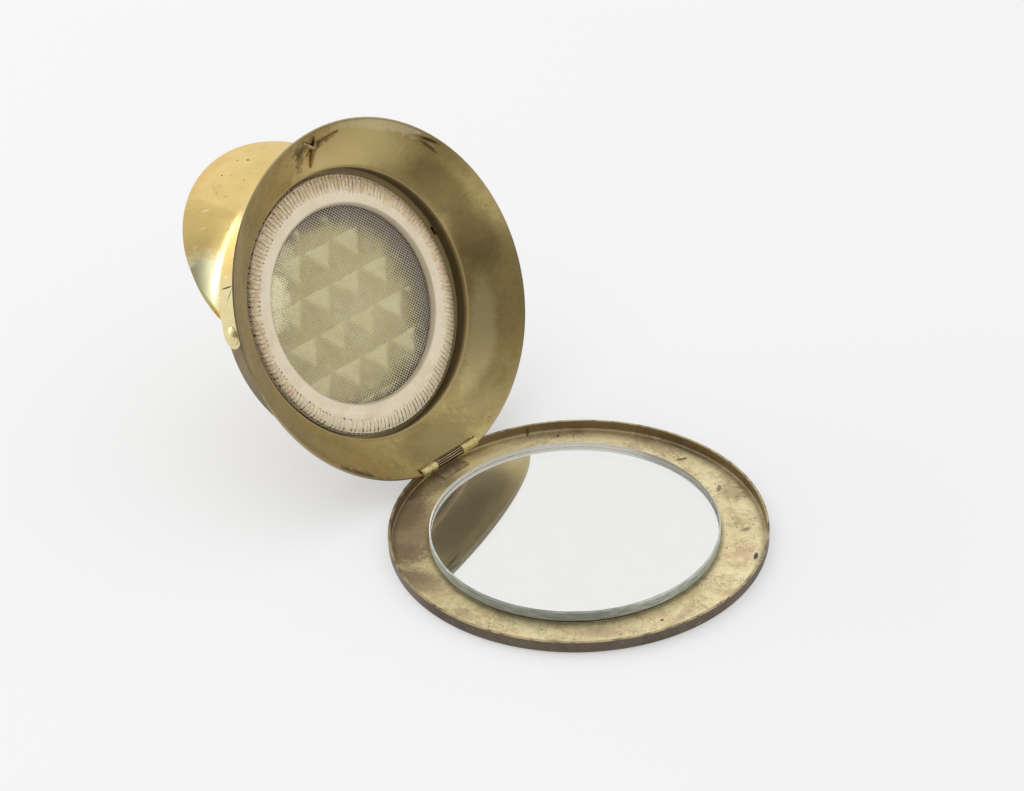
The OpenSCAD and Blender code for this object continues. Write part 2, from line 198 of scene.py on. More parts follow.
# Where a point of the cap is while it is shut: its place in mm, and its angle, depth and radius on the cap
def buildCapPlace():
    tree, _ = newGroup("capPlace", {}, {"Place": "Vector", "Flare": "Vector"})
    move = (pin - Matrix.Rotation(openAngle, 3, "X") @ pin) / mm
    inputs = {"Location": move, "Rotation": (openAngle, 0, 0), "Scale": (1 / mm, 1 / mm, 1 / mm)}
    place = addNode("Mapping", {"Vector": addNode("TexCoord")["Object"], **inputs})[0]
    x, y, z = split(place)
    angle = maths("DEGREES", maths("ARCTAN2", x, times(y, -1.0)))
    flare = joined(angle, minus(z, capShape["rimZ"]), fromAxis(place))
    return endGroup(tree, {"Place": place, "Flare": flare})


# What aged brass takes: three paints, and amounts that a dictionary gives only where they differ from these
brassPaints = ("clean", "dull", "stain")
usualBrass = dict(
    cloudSize=14.0, cloud=0.5, mottle=0.35, stains=0.35, specks=0.3, scratches=0.3, grit=0.2, roughness=0.3,
)


def buildAgedBrass():
    inputs = {"place": "Vector", **dict.fromkeys(brassPaints, "Color"), **dict.fromkeys(usualBrass, "Float")}
    tree, given = newGroup("agedBrass", inputs, {"Colour": "Color", "Roughness": "Float", "Height": "Float"})
    place, clean, stainPaint = given["place"], given["clean"], given["stain"]
    cloud = cloudNoise(scaled(place, maths("DIVIDE", 1.0, given["cloudSize"])), 1.0, 5, 0.6)
    mottle = cloudNoise(place, 0.8, 7, 0.68)
    grain = cloudNoise(place, 6.0, 3, 0.6)
    dull = times(ease(cloud, 0.36, 0.64), given["cloud"])
    dull = clamped(plus(times(minus(mottle, 0.5), given["mottle"], 4.0), dull))
    colour = mixed(dull, clean, given["dull"])
    stain = times(ease(cloudNoise(place, 0.17, 8, 0.72, 0.5), 0.53, 0.66), given["stains"])
    colour = mixed(stain, colour, stainPaint)
    # fine grit where the lacquer has gone, in patches, dark and light
    patch = times(ease(cloudNoise(place, 0.14, 4, 0.6), 0.44, 0.6), given["grit"])
    grains = cloudNoise(place, 2.6, 5, 0.72)
    gritty = times(ease(grains, 0.56, 0.66), patch)
    colour = mixed(gritty, colour, stainPaint)
    colour = mixed(times(ease(grains, 0.42, 0.34), patch), colour, mixed(0.4, clean, (0.9, 0.8, 0.6, 1)))
    # edges of flaked lacquer, as thin wandering lines
    away = maths("ABSOLUTE", minus(cloudNoise(place, 0.8, 7, 0.62), 0.52))
    colour = mixed(times(ease(away, 0.016, 0.003), patch, 0.7), colour, stainPaint)
    # small dark corrosion spots, in loose clusters
    cells = addNode("TexVoronoi", {"Vector": place, "Scale": 1.05, "Randomness": 1.0})
    chance = addNode("SeparateColor", {0: cells["Color"]})
    size = plus(times(maths("POWER", chance[1], 3.0), 0.22), 0.05)
    cluster = ease(cloudNoise(place, 0.12, 3), 0.42, 0.62)
    chosen = maths("GREATER_THAN", plus(chance[0], times(cluster, 0.45)), 0.82)
    speck = times(ease(cells["Distance"], size, times(size, 0.45)), chosen, given["specks"])
    colour = mixed(speck, colour, mixed(0.75, stainPaint, (0.01, 0.008, 0.006, 1)))
    # hairline scratches in three directions, broken up by noise
    scratch = 0.0
    for turn, bands, seed in ((0.5, 0.055, 3.0), (-0.9, 0.041, 11.0), (1.9, 0.03, 23.0)):
        turned = {"Vector": place, "Rotation": (turn * 0.6, turn * 0.4, turn), "Location": (seed, seed * 2, 0)}
        turned = addNode("Mapping", turned)[0]
        wave = {"Vector": turned, "Scale": bands, "Distortion": 1.2, "Detail": 1.0, "Detail Scale": 2.0}
        line = ease(addNode("TexWave", wave)[1], 0.9975, 0.9995)
        scratch = most(scratch, times(line, ease(cloudNoise(turned, 0.22, 3, 0.7), 0.56, 0.62)))
    scratch = times(scratch, given["scratches"])
    colour = mixed(times(scratch, 0.6), colour, mixed(0.3, clean, (0.9, 0.85, 0.7, 1)))
    rough = plus(given["roughness"], times(dull, 0.12), times(plus(stain, speck), 0.15))
    rough = clamped(plus(rough, times(minus(grain, 0.5), 0.12)))
    height = plus(times(grain, 0.006), times(mottle, 0.02), times(speck, -0.03), times(scratch, -0.012),
                  times(gritty, -0.02))
    return endGroup(tree, {"Colour": colour, "Roughness": rough, "Height": height})


# A ragged mark at one place: a stain, a knock, a painted highlight, painted shade and the like
def buildMark():
    inputs = dict.fromkeys(("Place", "Centre", "Size"), "Vector")
    inputs.update(dict.fromkeys(("Turn", "Ragged", "Noise Scale"), "Float"))
    tree, given = newGroup("mark", inputs, {"Mask": "Float"})
    away = vectorMaths("SUBTRACT", given["Place"], given["Centre"])
    away = addNode("VectorRotate", {"Vector": away, "Angle": given["Turn"]}, rotation_type="Z_AXIS")[0]
    ragged = wander(times(given["Ragged"], 3.0), scaled(given["Place"], given["Noise Scale"]), 1.0, 6, 0.65)
    reach = plus(length(vectorMaths("DIVIDE", away, given["Size"])), ragged)
    return endGroup(tree, {"Mask": ease(reach, 1.1, 0.5)})


capPlace = buildCapPlace()
agedBrass = buildAgedBrass()
mark = buildMark()


def aged(place, settings):
    inputs = {key: settings[key] for key in brassPaints}
    inputs.update({key: settings.get(key, usual) for key, usual in usualBrass.items()})
    return list(useGroup(agedBrass, {"place": place, **inputs}))


# Lays a list of marks over a colour: centre, size, turn in degrees, ragged, strength, and screen values of the paint.
# The marks of the cap give no radius, and reach from the middle of its sheet to both faces
def marksOn(place, colour, marks, noiseScale=0.5):
    total = 0.0
    for centre, size, turn, ragged, strength, tint in marks:
        inputs = {"Place": place, "Centre": (*centre, 33)[:3], "Size": (*size, 30)[:3], "Turn": radians(turn)}
        mask = times(useGroup(mark, {"Ragged": ragged, "Noise Scale": noiseScale, **inputs})[0], strength)
        colour = mixed(mask, colour, paint(*tint))
        total = most(total, mask)
    return colour, total


def newMaterial(name):
    material = bpy.data.materials.new(name)
    material.use_nodes = True
    building["tree"] = material.node_tree
    building["tree"].nodes.clear()
    return material


# Gives a material its surface. The height is in mm
def finish(material, colour, roughness, metallic=0.0, height=None, strength=1.0, **more):
    inputs = {label.replace("_", " "): value for label, value in more.items()}
    inputs.update({"Base Color": colour, "Roughness": roughness, "Metallic": metallic})
    if height is not None:
        inputs["Normal"] = addNode("Bump", {"Height": height, "Strength": strength, "Distance": mm})[0]
    addNode("OutputMaterial", {0: addNode("BsdfPrincipled", inputs)[0]})
    return material


def dress(material, *nodeNames):
    for name in nodeNames:
        slots = frame["nodes"][name].data.materials
        for i in range(len(slots)):
            slots[i] = material


plateGlass = dict(
    radius=29.1, centre=(-0.4, 0.6), bottom=0.77, top=2.95, bevel=0.3, arris=0.15, steps=288,
    waviness=0.03, nibble=0.10, refraction=1.5,
    body=paint(255, 255, 254), ground=paint(236, 242, 230), groundDark=paint(184, 196, 182),
    # next: a painted highlight for the ground edge, darker paint for its left front, and a painted glow of the edge
    # with its strength
    bright=paint(253, 251, 241), leftFrontDark=(paint(84, 90, 80), 0.45), paintedGlow=(0.95, 0.94, 0.87, 1), paintedGlowStrength=0.25,
    # directions across the glass, towards its back and its right, where the edge is painted lit
    backSide=(0.26, 0.97), rightSide=(0.94, 0.35),
)

lidBrass = dict(
    inside=dict(
        clean=paint(247, 234, 188), dull=paint(224, 206, 158), stain=paint(136, 112, 88),
        cloudSize=9.0, mottle=0.45, specks=0.9, scratches=0.7, grit=0.95, roughness=0.42,
    ),
    outside=dict(
        clean=paint(104, 92, 78), dull=paint(80, 69, 60), stain=paint(142, 126, 104),
        cloud=0.7, scratches=0.5, roughness=0.36,
    ),
    # each laid over the one before: paint and share
    blush=(paint(200, 160, 130), 0.5), shadeBesideMirror=(paint(88, 76, 52), 0.45),
    corner=(paint(112, 94, 68), 0.45), wall=(paint(108, 89, 62), 0.74), rim=paint(186, 168, 128),
    # where they begin and are full, by radius from the mirror's middle, by radius, and by height
    mirrorFoot=(30.3, 29.2), cornerFrom=(35.9, 37.3), wallFrom=(0.75, 1.1),
    # centre, size, turn, ragged, strength, paint: on the floor and wall, in mm
    marks=[
        # painted shadow and painted reflection of the cap on the left of the floor, in the next six
        ((-22, 27.5, 0), (15, 8, 9), -42, 0.25, 0.8, (152, 132, 104)),
        ((-32, 13.5, 0), (4, 6.5, 9), -14, 0.3, 0.7, (148, 128, 100)),
        ((-17, 31, 0), (8, 4, 9), -28, 0.3, 0.4, (114, 95, 78)),
        ((-27, 22, 0), (3.5, 6, 9), -30, 0.7, 0.35, (112, 92, 86)),
        ((-32, 15, 0), (2.5, 4, 9), -22, 0.8, 0.3, (104, 86, 84)),
        ((-34, -1, 0), (2, 3, 9), 10, 0.9, 0.3, (150, 124, 96)),
        # painted highlights beside the hinge, in the next four
        ((16, 33.4, 0.5), (6, 2.2, 2), 20, 0.5, 0.5, (246, 226, 176)),
        ((30, 20.6, 0.5), (3, 5, 2), -34, 0.5, 0.5, (246, 226, 176)),
        ((4, 35.0, 0.5), (9, 3, 2), 4, 0.5, 0.65, (252, 224, 166)),
        ((13.2, 34.2, 0.8), (3.6, 0.8, 1.6), 20, 0.9, 0.85, (250, 218, 130)),
        ((9.5, 33.4, 0.5), (4.5, 1.1, 1.6), 12, 0.9, 0.45, (200, 148, 92)),
        ((20, 32.0, 1.2), (1.1, 0.4, 2), -30, 0.6, 0.9, (92, 60, 40)),
        ((28, 25, 0.5), (3.0, 1.5, 2), -40, 1.2, 0.4, (160, 124, 92)),
        ((34, 8, 0.5), (2.4, 7, 2), 0, 1.1, 0.5, (170, 140, 104)),
        ((31, -14, 0.5), (3, 4, 2), 20, 1.2, 0.45, (150, 122, 84)),
        ((33.5, 1.0, 0.5), (1.4, 0.5, 2), 30, 0.8, 0.8, (104, 84, 60)),
        ((30.5, -11.5, 0.5), (1.2, 0.5, 2), -30, 0.9, 0.7, (112, 92, 64)),
        ((-8, 34.2, 0), (9, 3.2, 9), 8, 0.4, 0.6, (124, 100, 76)),
        ((16.7, -31.8, 0.5), (1.3, 0.5, 2), -28, 0.3, 0.95, (66, 54, 42)),
        ((22.7, -24.8, 0.5), (1.6, 0.6, 2), 20, 0.8, 0.6, (104, 86, 60)),
        ((23.5, 26.5, 0.5), (0.5, 0.4, 2), 0, 0.3, 0.9, (70, 56, 44)),
        ((23.6, 30.6, 0.5), (0.9, 0.5, 2), 30, 0.6, 0.8, (80, 62, 50)),
        ((37.0, 4, 1), (1.0, 16, 2), 0, 0.4, 0.5, (96, 76, 72)),
        ((33, -18, 0.5), (2.0, 5, 2), 20, 0.9, 0.35, (150, 124, 90)),
        # a painted highlight along the floor by the hinge
        ((6, 33.6, 0.5), (14, 3.0, 1.6), 6, 0.4, 0.45, (255, 244, 196)),
        ((-21.3, -24.2, 0.5), (5, 2.0, 2), 40, 0.8, 0.4, (176, 140, 118)),
        ((-8, -33, 0.5), (8, 1.2, 2), -12, 0.8, 0.4, (180, 146, 124)),
        ((-10.9, -30.8, 0.5), (0.5, 0.35, 2), 0, 0.3, 0.9, (84, 66, 46)),
        ((-26.6, -24.6, 0.5), (0.6, 0.4, 2), 0, 0.3, 0.8, (84, 66, 46)),
        ((1.2, -36.2, 1.4), (1.1, 1.0, 1.4), 0, 0.4, 0.8, (70, 58, 50)),
    ],
)


def makeLidBrass(settings):
    material = newMaterial("lidBrass")
    place = placeInMm()
    z, radius = split(place)[2], fromAxis(place)
    rimRadius, rimHeight = lidShape["radius"], lidShape["height"]
    colour, insideRough, height = aged(place, settings["inside"])
    outside, outsideRough, _ = aged(place, settings["outside"])
    # copper blush in patches
    colour = laid(colour, ease(cloudNoise(place, 0.21, 6, 0.7, 0.8), 0.5, 0.66), *settings["blush"])
    # the marks: stains, spots and streaks, and painted highlights, shadow and reflection
    colour, marksAndPaintedLight = marksOn(place, colour, settings["marks"], 1.3)
    ragged = wander(3.0, place, 0.5, 6, 0.7)
    # painted shade round the foot of the mirror
    fromMirror = plus(times(ragged, 0.25), fromAxis(place, (*plateGlass["centre"], 0)))
    colour = laid(colour, ease(fromMirror, *settings["mirrorFoot"]), *settings["shadeBesideMirror"])
    # dirt left in the corner between the floor and the wall, and painted shade on the wall
    corner = ease(plus(radius, ragged), *settings["cornerFrom"])
    colour = laid(colour, corner, *settings["corner"])
    colour = laid(colour, ease(z, *settings["wallFrom"]), *settings["wall"])
    outer = most(ease(radius, rimRadius - 0.3, rimRadius - 0.2), maths("LESS_THAN", z, 0.06))
    colour = mixed(outer, colour, outside)
    # bare metal along the top of the wall
    worn = ease(cloudNoise(place, 0.35, 5, 0.7), 0.36, 0.56)
    colour = mixed(times(ease(z, rimHeight - 0.12, rimHeight - 0.03), worn), colour, settings["rim"])
    metal = rest(times(most(marksAndPaintedLight, corner), 0.3))
    height = plus(height, times(marksAndPaintedLight, -0.02))
    return finish(material, colour, mixed(outer, insideRough, outsideRough), metal, height)


dress(makeLidBrass(lidBrass), "crown_lid")


# Smooth noise around 0 in space
def ripple(*place):
    return noise.noise(place)


# Evenly spaced angles, once round
def fullTurn(steps):
    return [2 * pi * i / steps for i in range(steps)]


# A number held between 0 and 1
def held(value):
    return max(0.0, min(1.0, value))


def newObject(name, data):
    thing = bpy.data.objects.new(name, data)
    scene.collection.objects.link(thing)
    return thing


# A piece from points in mm, with the turn that swings the pieces of the cap open
def buildMesh(name, points, faces, turn=Matrix()):
    mesh = bpy.data.meshes.new(name)
    mesh.from_pydata([turn @ (Vector(point) * mm) for point in points], [], faces)
    mesh.update()
    mesh.shade_smooth()
    return newObject(name, mesh)


# Faces between rows of points. The last row meets the first if it goes around, and each row is a ring if closed
def netFaces(rows, count, base=0, around=True, closed=False, flip=False):
    faces = []
    for i in range(rows if around else rows - 1):
        here, there = base + i * count, base + (i + 1) % rows * count
        for j in range(count if closed else count - 1):
            m = (j + 1) % count
            face = (here + j, there + j, there + m, here + m)
            faces.append((face[0], face[3], face[2], face[1]) if flip else face)
    return faces


def fit(piece, body, slot, replaced, *materials):
    for material in materials:
        piece.data.materials.append(material)
    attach(piece, body)
    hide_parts(replaced)
    return piece


def makePlateGlass(settings):
    steps, radius = settings["steps"], settings["radius"]
    cx, cy = settings["centre"]
    low, high, bevel, arris = settings["bottom"], settings["top"], settings["bevel"], settings["arris"]
    profile = [(radius - arris, low), (radius, low + arris), (radius, (low + high) / 2), (radius, high - bevel),
               (radius - bevel, high)]
    nibbled = {3: (0.4, 0.5), 4: (1.0, 0.0)}  # how far in and down the two upper edges of the bevel go
    points = []
    for angle in fullTurn(steps):
        x, y = cos(angle), sin(angle)
        wave = settings["waviness"] * ripple(3 * x, 3 * y, 0.5)
        nibble = settings["nibble"] * max(0.0, ripple(40 * x, 40 * y, 4.2) - 0.25)
        for j, (r, z) in enumerate(profile):
            inward, downward = nibbled.get(j, (0, 0))
            r += wave - inward * nibble
            points.append((cx + r * x, cy + r * y, z - downward * nibble))
    count = len(profile)
    faces = netFaces(steps, count)
    sideFaces = len(faces)
    faces.append([i * count + count - 1 for i in range(steps)])
    faces.append([i * count for i in range(steps)][::-1])
    piece = buildMesh("plateGlass", points, faces)
    piece.data.set_sharp_from_angle(angle=radians(30))
    for polygon in piece.data.polygons:
        polygon.material_index = 1 if polygon.index < sideFaces else 0
    body = newMaterial("mirrorPlate")
    smear = times(ease(cloudNoise(placeInMm(), 0.25, 6, 0.7), 0.5, 0.75), 0.012)
    finish(body, settings["body"], smear, IOR=settings["refraction"], Transmission_Weight=0.98)
    ground = newMaterial("groundEdge")
    place = placeInMm()
    streaks = cloudNoise(vectorMaths("MULTIPLY", place, (0.35, 0.35, 3.0)), 1.0, 5, 0.6)
    colour = mixed(ease(streaks, 0.4, 0.62), settings["ground"], settings["groundDark"])
    # darker towards the left front, and a painted highlight and a painted glow on the edge at the back and on the right
    behind, right = (along(place, (side[0] / radius, side[1] / radius, 0))
                     for side in (settings["backSide"], settings["rightSide"]))
    behind = ease(behind, 0.3, 0.65)
    colour = laid(colour, ease(right, -0.6, -0.95), *settings["leftFrontDark"])
    colour = mixed(most(behind, ease(right, 0.55, 0.85)), colour, settings["bright"])
    paintedGlow = mixed(behind, (0, 0, 0, 1), settings["paintedGlow"])
    finish(ground, colour, 0.5, height=times(cloudNoise(place, 4.0, 4, 0.7), 0.03), IOR=settings["refraction"],
           Transmission_Weight=0.25, Emission_Color=paintedGlow, Emission_Strength=settings["paintedGlowStrength"])
    return fit(piece, "lid", "plate_glass", "mirror_glass", body, ground)


makePlateGlass(plateGlass)

silvering = dict(
    silver=paint(249, 250, 249), spoiled=paint(120, 124, 118), backPaint=paint(92, 58, 44), backZ=0.74,
    spoiledFrom=29.05, spoiledTo=29.5, dustSize=0.045,
)


def makeSilvering(settings):
    material = newMaterial("silvering")
    place = placeInMm()
    radius = fromAxis(place, (*plateGlass["centre"], 0))
    spoiled = ease(plus(radius, cloudNoise(place, 1.2, 6, 0.7)), settings["spoiledFrom"], settings["spoiledTo"])
    dust = addNode("TexVoronoi", {"Vector": place, "Scale": 0.55})["Distance"]
    dust = times(maths("LESS_THAN", dust, settings["dustSize"]), 0.35)
    back = maths("LESS_THAN", split(place)[2], settings["backZ"])
    colour = mixed(most(times(spoiled, 0.7), dust), settings["silver"], settings["spoiled"])
    colour = mixed(back, colour, settings["backPaint"])
    return finish(material, colour, plus(times(most(spoiled, back), 0.45), 0.012), rest(back))


dress(makeSilvering(silvering), "mirror_silvering")


def makeCard(name, light, dark):
    material = newMaterial(name)
    fibre = cloudNoise(vectorMaths("MULTIPLY", placeInMm(), (1.0, 3.0, 1.0)), 2.0, 6, 0.7)
    return finish(material, mixed(ease(fibre, 0.35, 0.65), light, dark), 0.9, height=times(fibre, 0.04))


dress(makeCard("padCard", paint(92, 84, 72), paint(60, 52, 44)), "mirror_pad")
dress(makeCard("hoopCard", paint(186, 168, 132), paint(150, 132, 98)), "sifter_hoop")
print("lid and mirror done")


capBrass = dict(
    inside=dict(
        clean=paint(200, 180, 122), dull=paint(166, 146, 96), stain=paint(122, 103, 66),
        cloudSize=16.0, cloud=0.6, mottle=0.3, stains=0.3, specks=0.6, scratches=0.35, grit=0.35,
    ),
    outside=dict(
        clean=paint(142, 128, 102), dull=paint(118, 104, 82), stain=paint(172, 154, 120),
        cloud=0.7, scratches=0.6,
    ),
    rim=(paint(186, 170, 130), 0.6), collar=paint(178, 158, 112), collarFootShade=paint(92, 76, 54), collarShare=0.85,
    collarDull=0.6, collarFade=(8.6, 9.9), outsideFrom=(12.0, 12.5),
    # the same list, by angle from the front in degrees and depth from the rim in mm
    marks=[
        ((31, 1.2), (9, 2.4), 0, 0.4, 0.5, (190, 168, 128)),
        # painted shade on the right of the flare, in the next two
        ((64, 5.5), (24, 3.6), 0, 0.12, 0.6, (132, 114, 76)),
        ((88, 5.0), (16, 4.2), 0, 0.12, 0.6, (132, 114, 76)),
        ((128, 6.2), (30, 2.4), 0, 0.2, 0.45, (250, 236, 182)),
        ((150, 2.6), (16, 4.0), 0, 0.2, 0.4, (160, 144, 102)),
        ((178, 4.2), (19, 6), 0, 0.2, 0.7, (130, 114, 78)),
        ((-182, 4.2), (19, 6), 0, 0.2, 0.7, (130, 114, 78)),
        # painted reflection of the bright table on the top of the flare, with a painted highlight by the rim, in the
        # next three
        ((16, 4.6), (34, 6), 0, 0.15, 0.72, (252, 234, 172)),
        ((26, 0.5), (24, 1.6), 0, 0.5, 0.75, (255, 244, 206)),
        ((0, 7.0), (12, 2.0), 0, 0.3, 0.6, (250, 232, 176)),
        ((-142, -0.2), (11, 1.4), 0, 1.0, 0.85, (76, 66, 58)),
        ((46, 0.7), (6.0, 0.4), 4, 0.5, 0.85, (70, 54, 40)),
        ((48, 1.6), (5.0, 0.35), -3, 0.5, 0.7, (80, 62, 46)),
        ((42, 1.1), (3.0, 0.3), 8, 0.5, 0.6, (214, 190, 150)),
        ((-62, 5.8), (1.0, 1.0), 30, 0.3, 0.6, (196, 186, 150)),
        ((-96, 1.5), (60, 1.2), 0, 0.3, 0.35, (108, 92, 74)),
        ((-84, 4.6), (62, 7.5), 0, 0.3, 0.45, (150, 140, 118)),
        ((-11, 4.0), (9, 3.2), 0, 0.5, 0.5, (236, 214, 152)),
        ((-4, 2.6), (7, 1.7), 0, 1.5, 0.65, (84, 66, 44)),
        ((-2, 1.8), (9, 1.2), -4, 1.7, 0.6, (226, 208, 160)),
        ((-6, 3.8), (3, 2.6), 0, 1.6, 0.5, (76, 59, 40)),
    ],
)


def makeCapBrass(settings):
    material = newMaterial("capBrass")
    place, flare = useGroup(capPlace)
    _, depth, radius = split(flare)
    rimRadius, crownHeight = capShape["rimRadius"], capShape["crownHeight"]
    colour, insideRough, height = aged(place, settings["inside"])
    outside, outsideRough, _ = aged(place, settings["outside"])
    colour, _ = marksOn(flare, colour, settings["marks"])
    # the sheet's outer face lies on this line
    share = clamped(maths("DIVIDE", depth, crownHeight))
    slant = plus(times(share, capShape["bandRadius"] - rimRadius), rimRadius)
    bulge = times(share, rest(share), 4 * capShape["bulge"] * 0.7)
    # the collar is painted darker down towards the sifter, as painted shade
    collar = ease(depth, crownHeight - 0.2, crownHeight + 0.1)
    collarPaint = mixed(ease(depth, *settings["collarFade"]), settings["collar"], settings["collarFootShade"])
    colour = laid(colour, collar, collarPaint, settings["collarShare"])
    outer = most(ease(minus(radius, plus(slant, bulge)), -0.26, -0.2), ease(depth, *settings["outsideFrom"]))
    colour = mixed(outer, colour, outside)
    colour = laid(colour, ease(depth, 0.12, 0.03), *settings["rim"])
    metal = rest(times(collar, rest(outer), settings["collarDull"]))
    return finish(material, colour, mixed(outer, insideRough, outsideRough), metal, height)


dress(makeCapBrass(capBrass), "crown_bowl", "cap_band", "base_plate")

polishedBrass = dict(
    clean=paint(238, 226, 174), dull=paint(220, 204, 146), stain=paint(204, 178, 120), roughness=0.22,
    mottle=0.1, stains=0.2, specks=0.5, scratches=0.4,
    # angle and depth on the cap: a painted reflection of the visor on the strap, painted shade along the flare's edge,
    # two scratches, and a painted glint
    marks=[
        ((-46, 13), (15, 5), 0, 0.2, 0.75, (232, 196, 118)),
        ((-66, 10.7), (9, 0.5), 0, 0.3, 0.6, (96, 82, 50)),
        ((-60, 13.2), (0.4, 2.3), -8, 0.2, 0.95, (60, 50, 30)),
        ((-63, 12.3), (3.3, 0.16), 18, 0.15, 0.95, (60, 50, 30)),
        ((-55.7, 13.9), (0.7, 0.35), 0, 0.3, 0.8, (255, 250, 220)),
    ],
)


def makeBrass(name, settings, strength=0.6, markDepth=0.0):
    material = newMaterial(name)
    place, flare = useGroup(capPlace)
    colour, rough, height = aged(place, settings)
    colour, worn = marksOn(flare, colour, settings.get("marks", []))
    return finish(material, colour, rough, 1.0, minus(height, times(worn, markDepth)), strength)


dress(makeBrass("polishedBrass", polishedBrass), "chin_strap", "strap_rivets", "cap_badge")

visorSheet = dict(
    reach=72.0, length=16.8, slope=61.0, taper=0.93, inner=29.03, thick=0.4, flangeZ=13.9,
    bendZ=18.3, rootZ=18.9, bend=9.0, steps=240, wave=0.05,
    profileSteps=(6, 16, 30),  # along the flange, the bend and the slope
    clean=paint(240, 212, 142), dull=paint(222, 194, 120), stain=paint(214, 172, 116), roughness=0.15,
    cloudSize=15.0, cloud=0.6, mottle=0.06, specks=0.5,
    # angle and depth on the cap, as the marks of the flared side
    marks=[
        # painted reflections: darker in the middle of the left, and bright low on the left
        ((-39, 27.0), (14, 9), 0, 0.15, 0.85, (204, 180, 116)),
        ((-57, 20.0), (14, 6), 0, 0.3, 0.95, (255, 252, 205)),
        ((-10, 30), (9, 1.6), 0, 0.6, 0.3, (222, 176, 112)),
        ((-21, 29.5), (7, 1.4), 0, 0.6, 0.3, (222, 180, 118)),
        # a painted reflection near the root
        ((-35, 17), (8, 1.0), 0, 0.3, 0.5, (232, 184, 110)),
        ((-27.5, 22.5), (3.2, 5.5), 8, 0.25, 0.3, (190, 164, 104)),
        ((-28.4, 24.4), (1.2, 0.35), 25, 0.8, 0.6, (246, 226, 168)),
        ((-35.8, 23.2), (1.6, 0.4), 30, 0.9, 0.4, (240, 220, 164)),
        ((-43.9, 23.2), (1.5, 0.5), 10, 1.0, 0.4, (240, 220, 164)),
        ((-43.0, 19.1), (1.4, 0.8), 60, 1.2, 0.4, (228, 208, 150)),
        ((-12.0, 26.8), (0.5, 0.22), 0, 0.3, 0.9, (128, 100, 60)),
        ((-2.4, 27.8), (0.5, 0.25), 0, 0.3, 0.8, (128, 100, 60)),
        ((0.3, 26.6), (0.7, 0.3), 0, 0.3, 0.9, (120, 92, 54)),
        ((-9.7, 22.7), (0.5, 0.22), 0, 0.3, 0.7, (140, 108, 66)),
        ((-20.2, 22.9), (0.9, 0.18), 15, 0.3, 0.6, (160, 124, 78)),
        ((-34.0, 18.3), (0.5, 0.25), 0, 0.3, 0.8, (110, 92, 56)),
        ((14, 24), (3.0, 1.2), 30, 1.2, 0.35, (232, 214, 160)),
        ((33, 22), (9, 4), -20, 0.6, 0.35, (206, 180, 116)),
    ],
)


# A point of the cap, by angle from the front
def capPoint(angle, radius, z):
    return Vector((radius * sin(angle), -radius * cos(angle), z))


# The visor's sheet, bent out of its flange, a little wavy as pressed sheet is
def makeVisor(settings):
    inner, bend, thick = settings["inner"], settings["bend"], settings["thick"]
    flangeZ, bendZ, steps = settings["flangeZ"], settings["bendZ"], settings["steps"]
    flangeSteps, bendSteps, slopeSteps = settings["profileSteps"]
    slope = radians(settings["slope"])
    points = []
    for i in range(steps + 1):
        degree = settings["reach"] * (2 * i / steps - 1)
        share = max(0.0, cos(radians(90 * degree / settings["reach"])))
        sheetLength = settings["length"] * share ** settings["taper"]
        endR = sheetLength * cos(slope)
        endZ = settings["rootZ"] - bendZ + sheetLength * sin(slope)
        turn = acos(max(-1.0, -bend / hypot(endR - bend, endZ))) - atan2(endZ, endR - bend)
        # radius, height and lean along the flange, the bend and the slope
        line = [(0.0, flangeZ + (bendZ - flangeZ) * k / flangeSteps, 0.0) for k in range(flangeSteps)]
        for k in range(bendSteps + 1):
            lean = turn * k / bendSteps
            line.append((bend - bend * cos(lean), bendZ + bend * sin(lean), lean))
        startR, startZ, _ = line[-1]
        for k in range(1, slopeSteps + 1):
            part = k / slopeSteps
            line.append((startR + (endR - startR) * part, startZ + (bendZ + endZ - startZ) * part, turn))
        angle = radians(degree)
        outside, inside = [], []
        for r, z, lean in line:
            free = held((z - bendZ - 1.0) / 4.0)
            wave = ripple(angle * 3.2, z * 0.16, 2.0) + 0.4 * ripple(angle * 9.0, z * 0.45, 8.0)
            wave *= settings["wave"] * free
            for side, offset in ((outside, thick + wave), (inside, wave)):
                side.append(capPoint(angle, inner + r + offset * cos(lean), z - offset * sin(lean)))
        lip = (outside[-1] + inside[-1]) / 2 + (inside[-1] - inside[-2]).normalized() * 0.1
        ring = outside + [lip] + inside[::-1]
        points += ring
    loop = len(ring)
    faces = netFaces(steps + 1, loop, around=False, closed=True, flip=True)
    for base, order in ((0, 1), (steps * loop, -1)):
        for j in range(loop // 2):
            quad = (base + j, base + loop - 1 - j, base + loop - 2 - j, base + j + 1)
            quad = quad[:3] if quad[2] == quad[3] else quad
            faces.append(quad[::order])
    piece = buildMesh("visorSheet", points, faces, openTurn)
    piece.data.set_sharp_from_angle(angle=radians(38))
    return fit(piece, "cap", "polished_brass", "visor", makeBrass("visorBrass", settings, 0.5, 0.01))


makeVisor(visorSheet)

hingeBrass = dict(
    clean=paint(216, 200, 142), dull=paint(150, 131, 86), stain=paint(84, 67, 50), roughness=0.33,
    mottle=0.5, stains=0.6, specks=0.5, scratches=0.9,
)
dress(makeBrass("hingeBrass", hingeBrass), "hinge_pin", "hinge_cap_leaf")

knuckleBrass = dict(
    grime=paint(92, 74, 54), dark=paint(60, 46, 34), worn=paint(206, 188, 146),
    foot=paint(172, 152, 112), footDull=paint(146, 124, 92), radius=1.05,
    # directions round the pin, in degrees, of the bright lines, partly worn smooth and partly painted highlights, and
    # half their width
    lines=[(168, 7), (139, 5), (112, 6), (84, 5)],
)


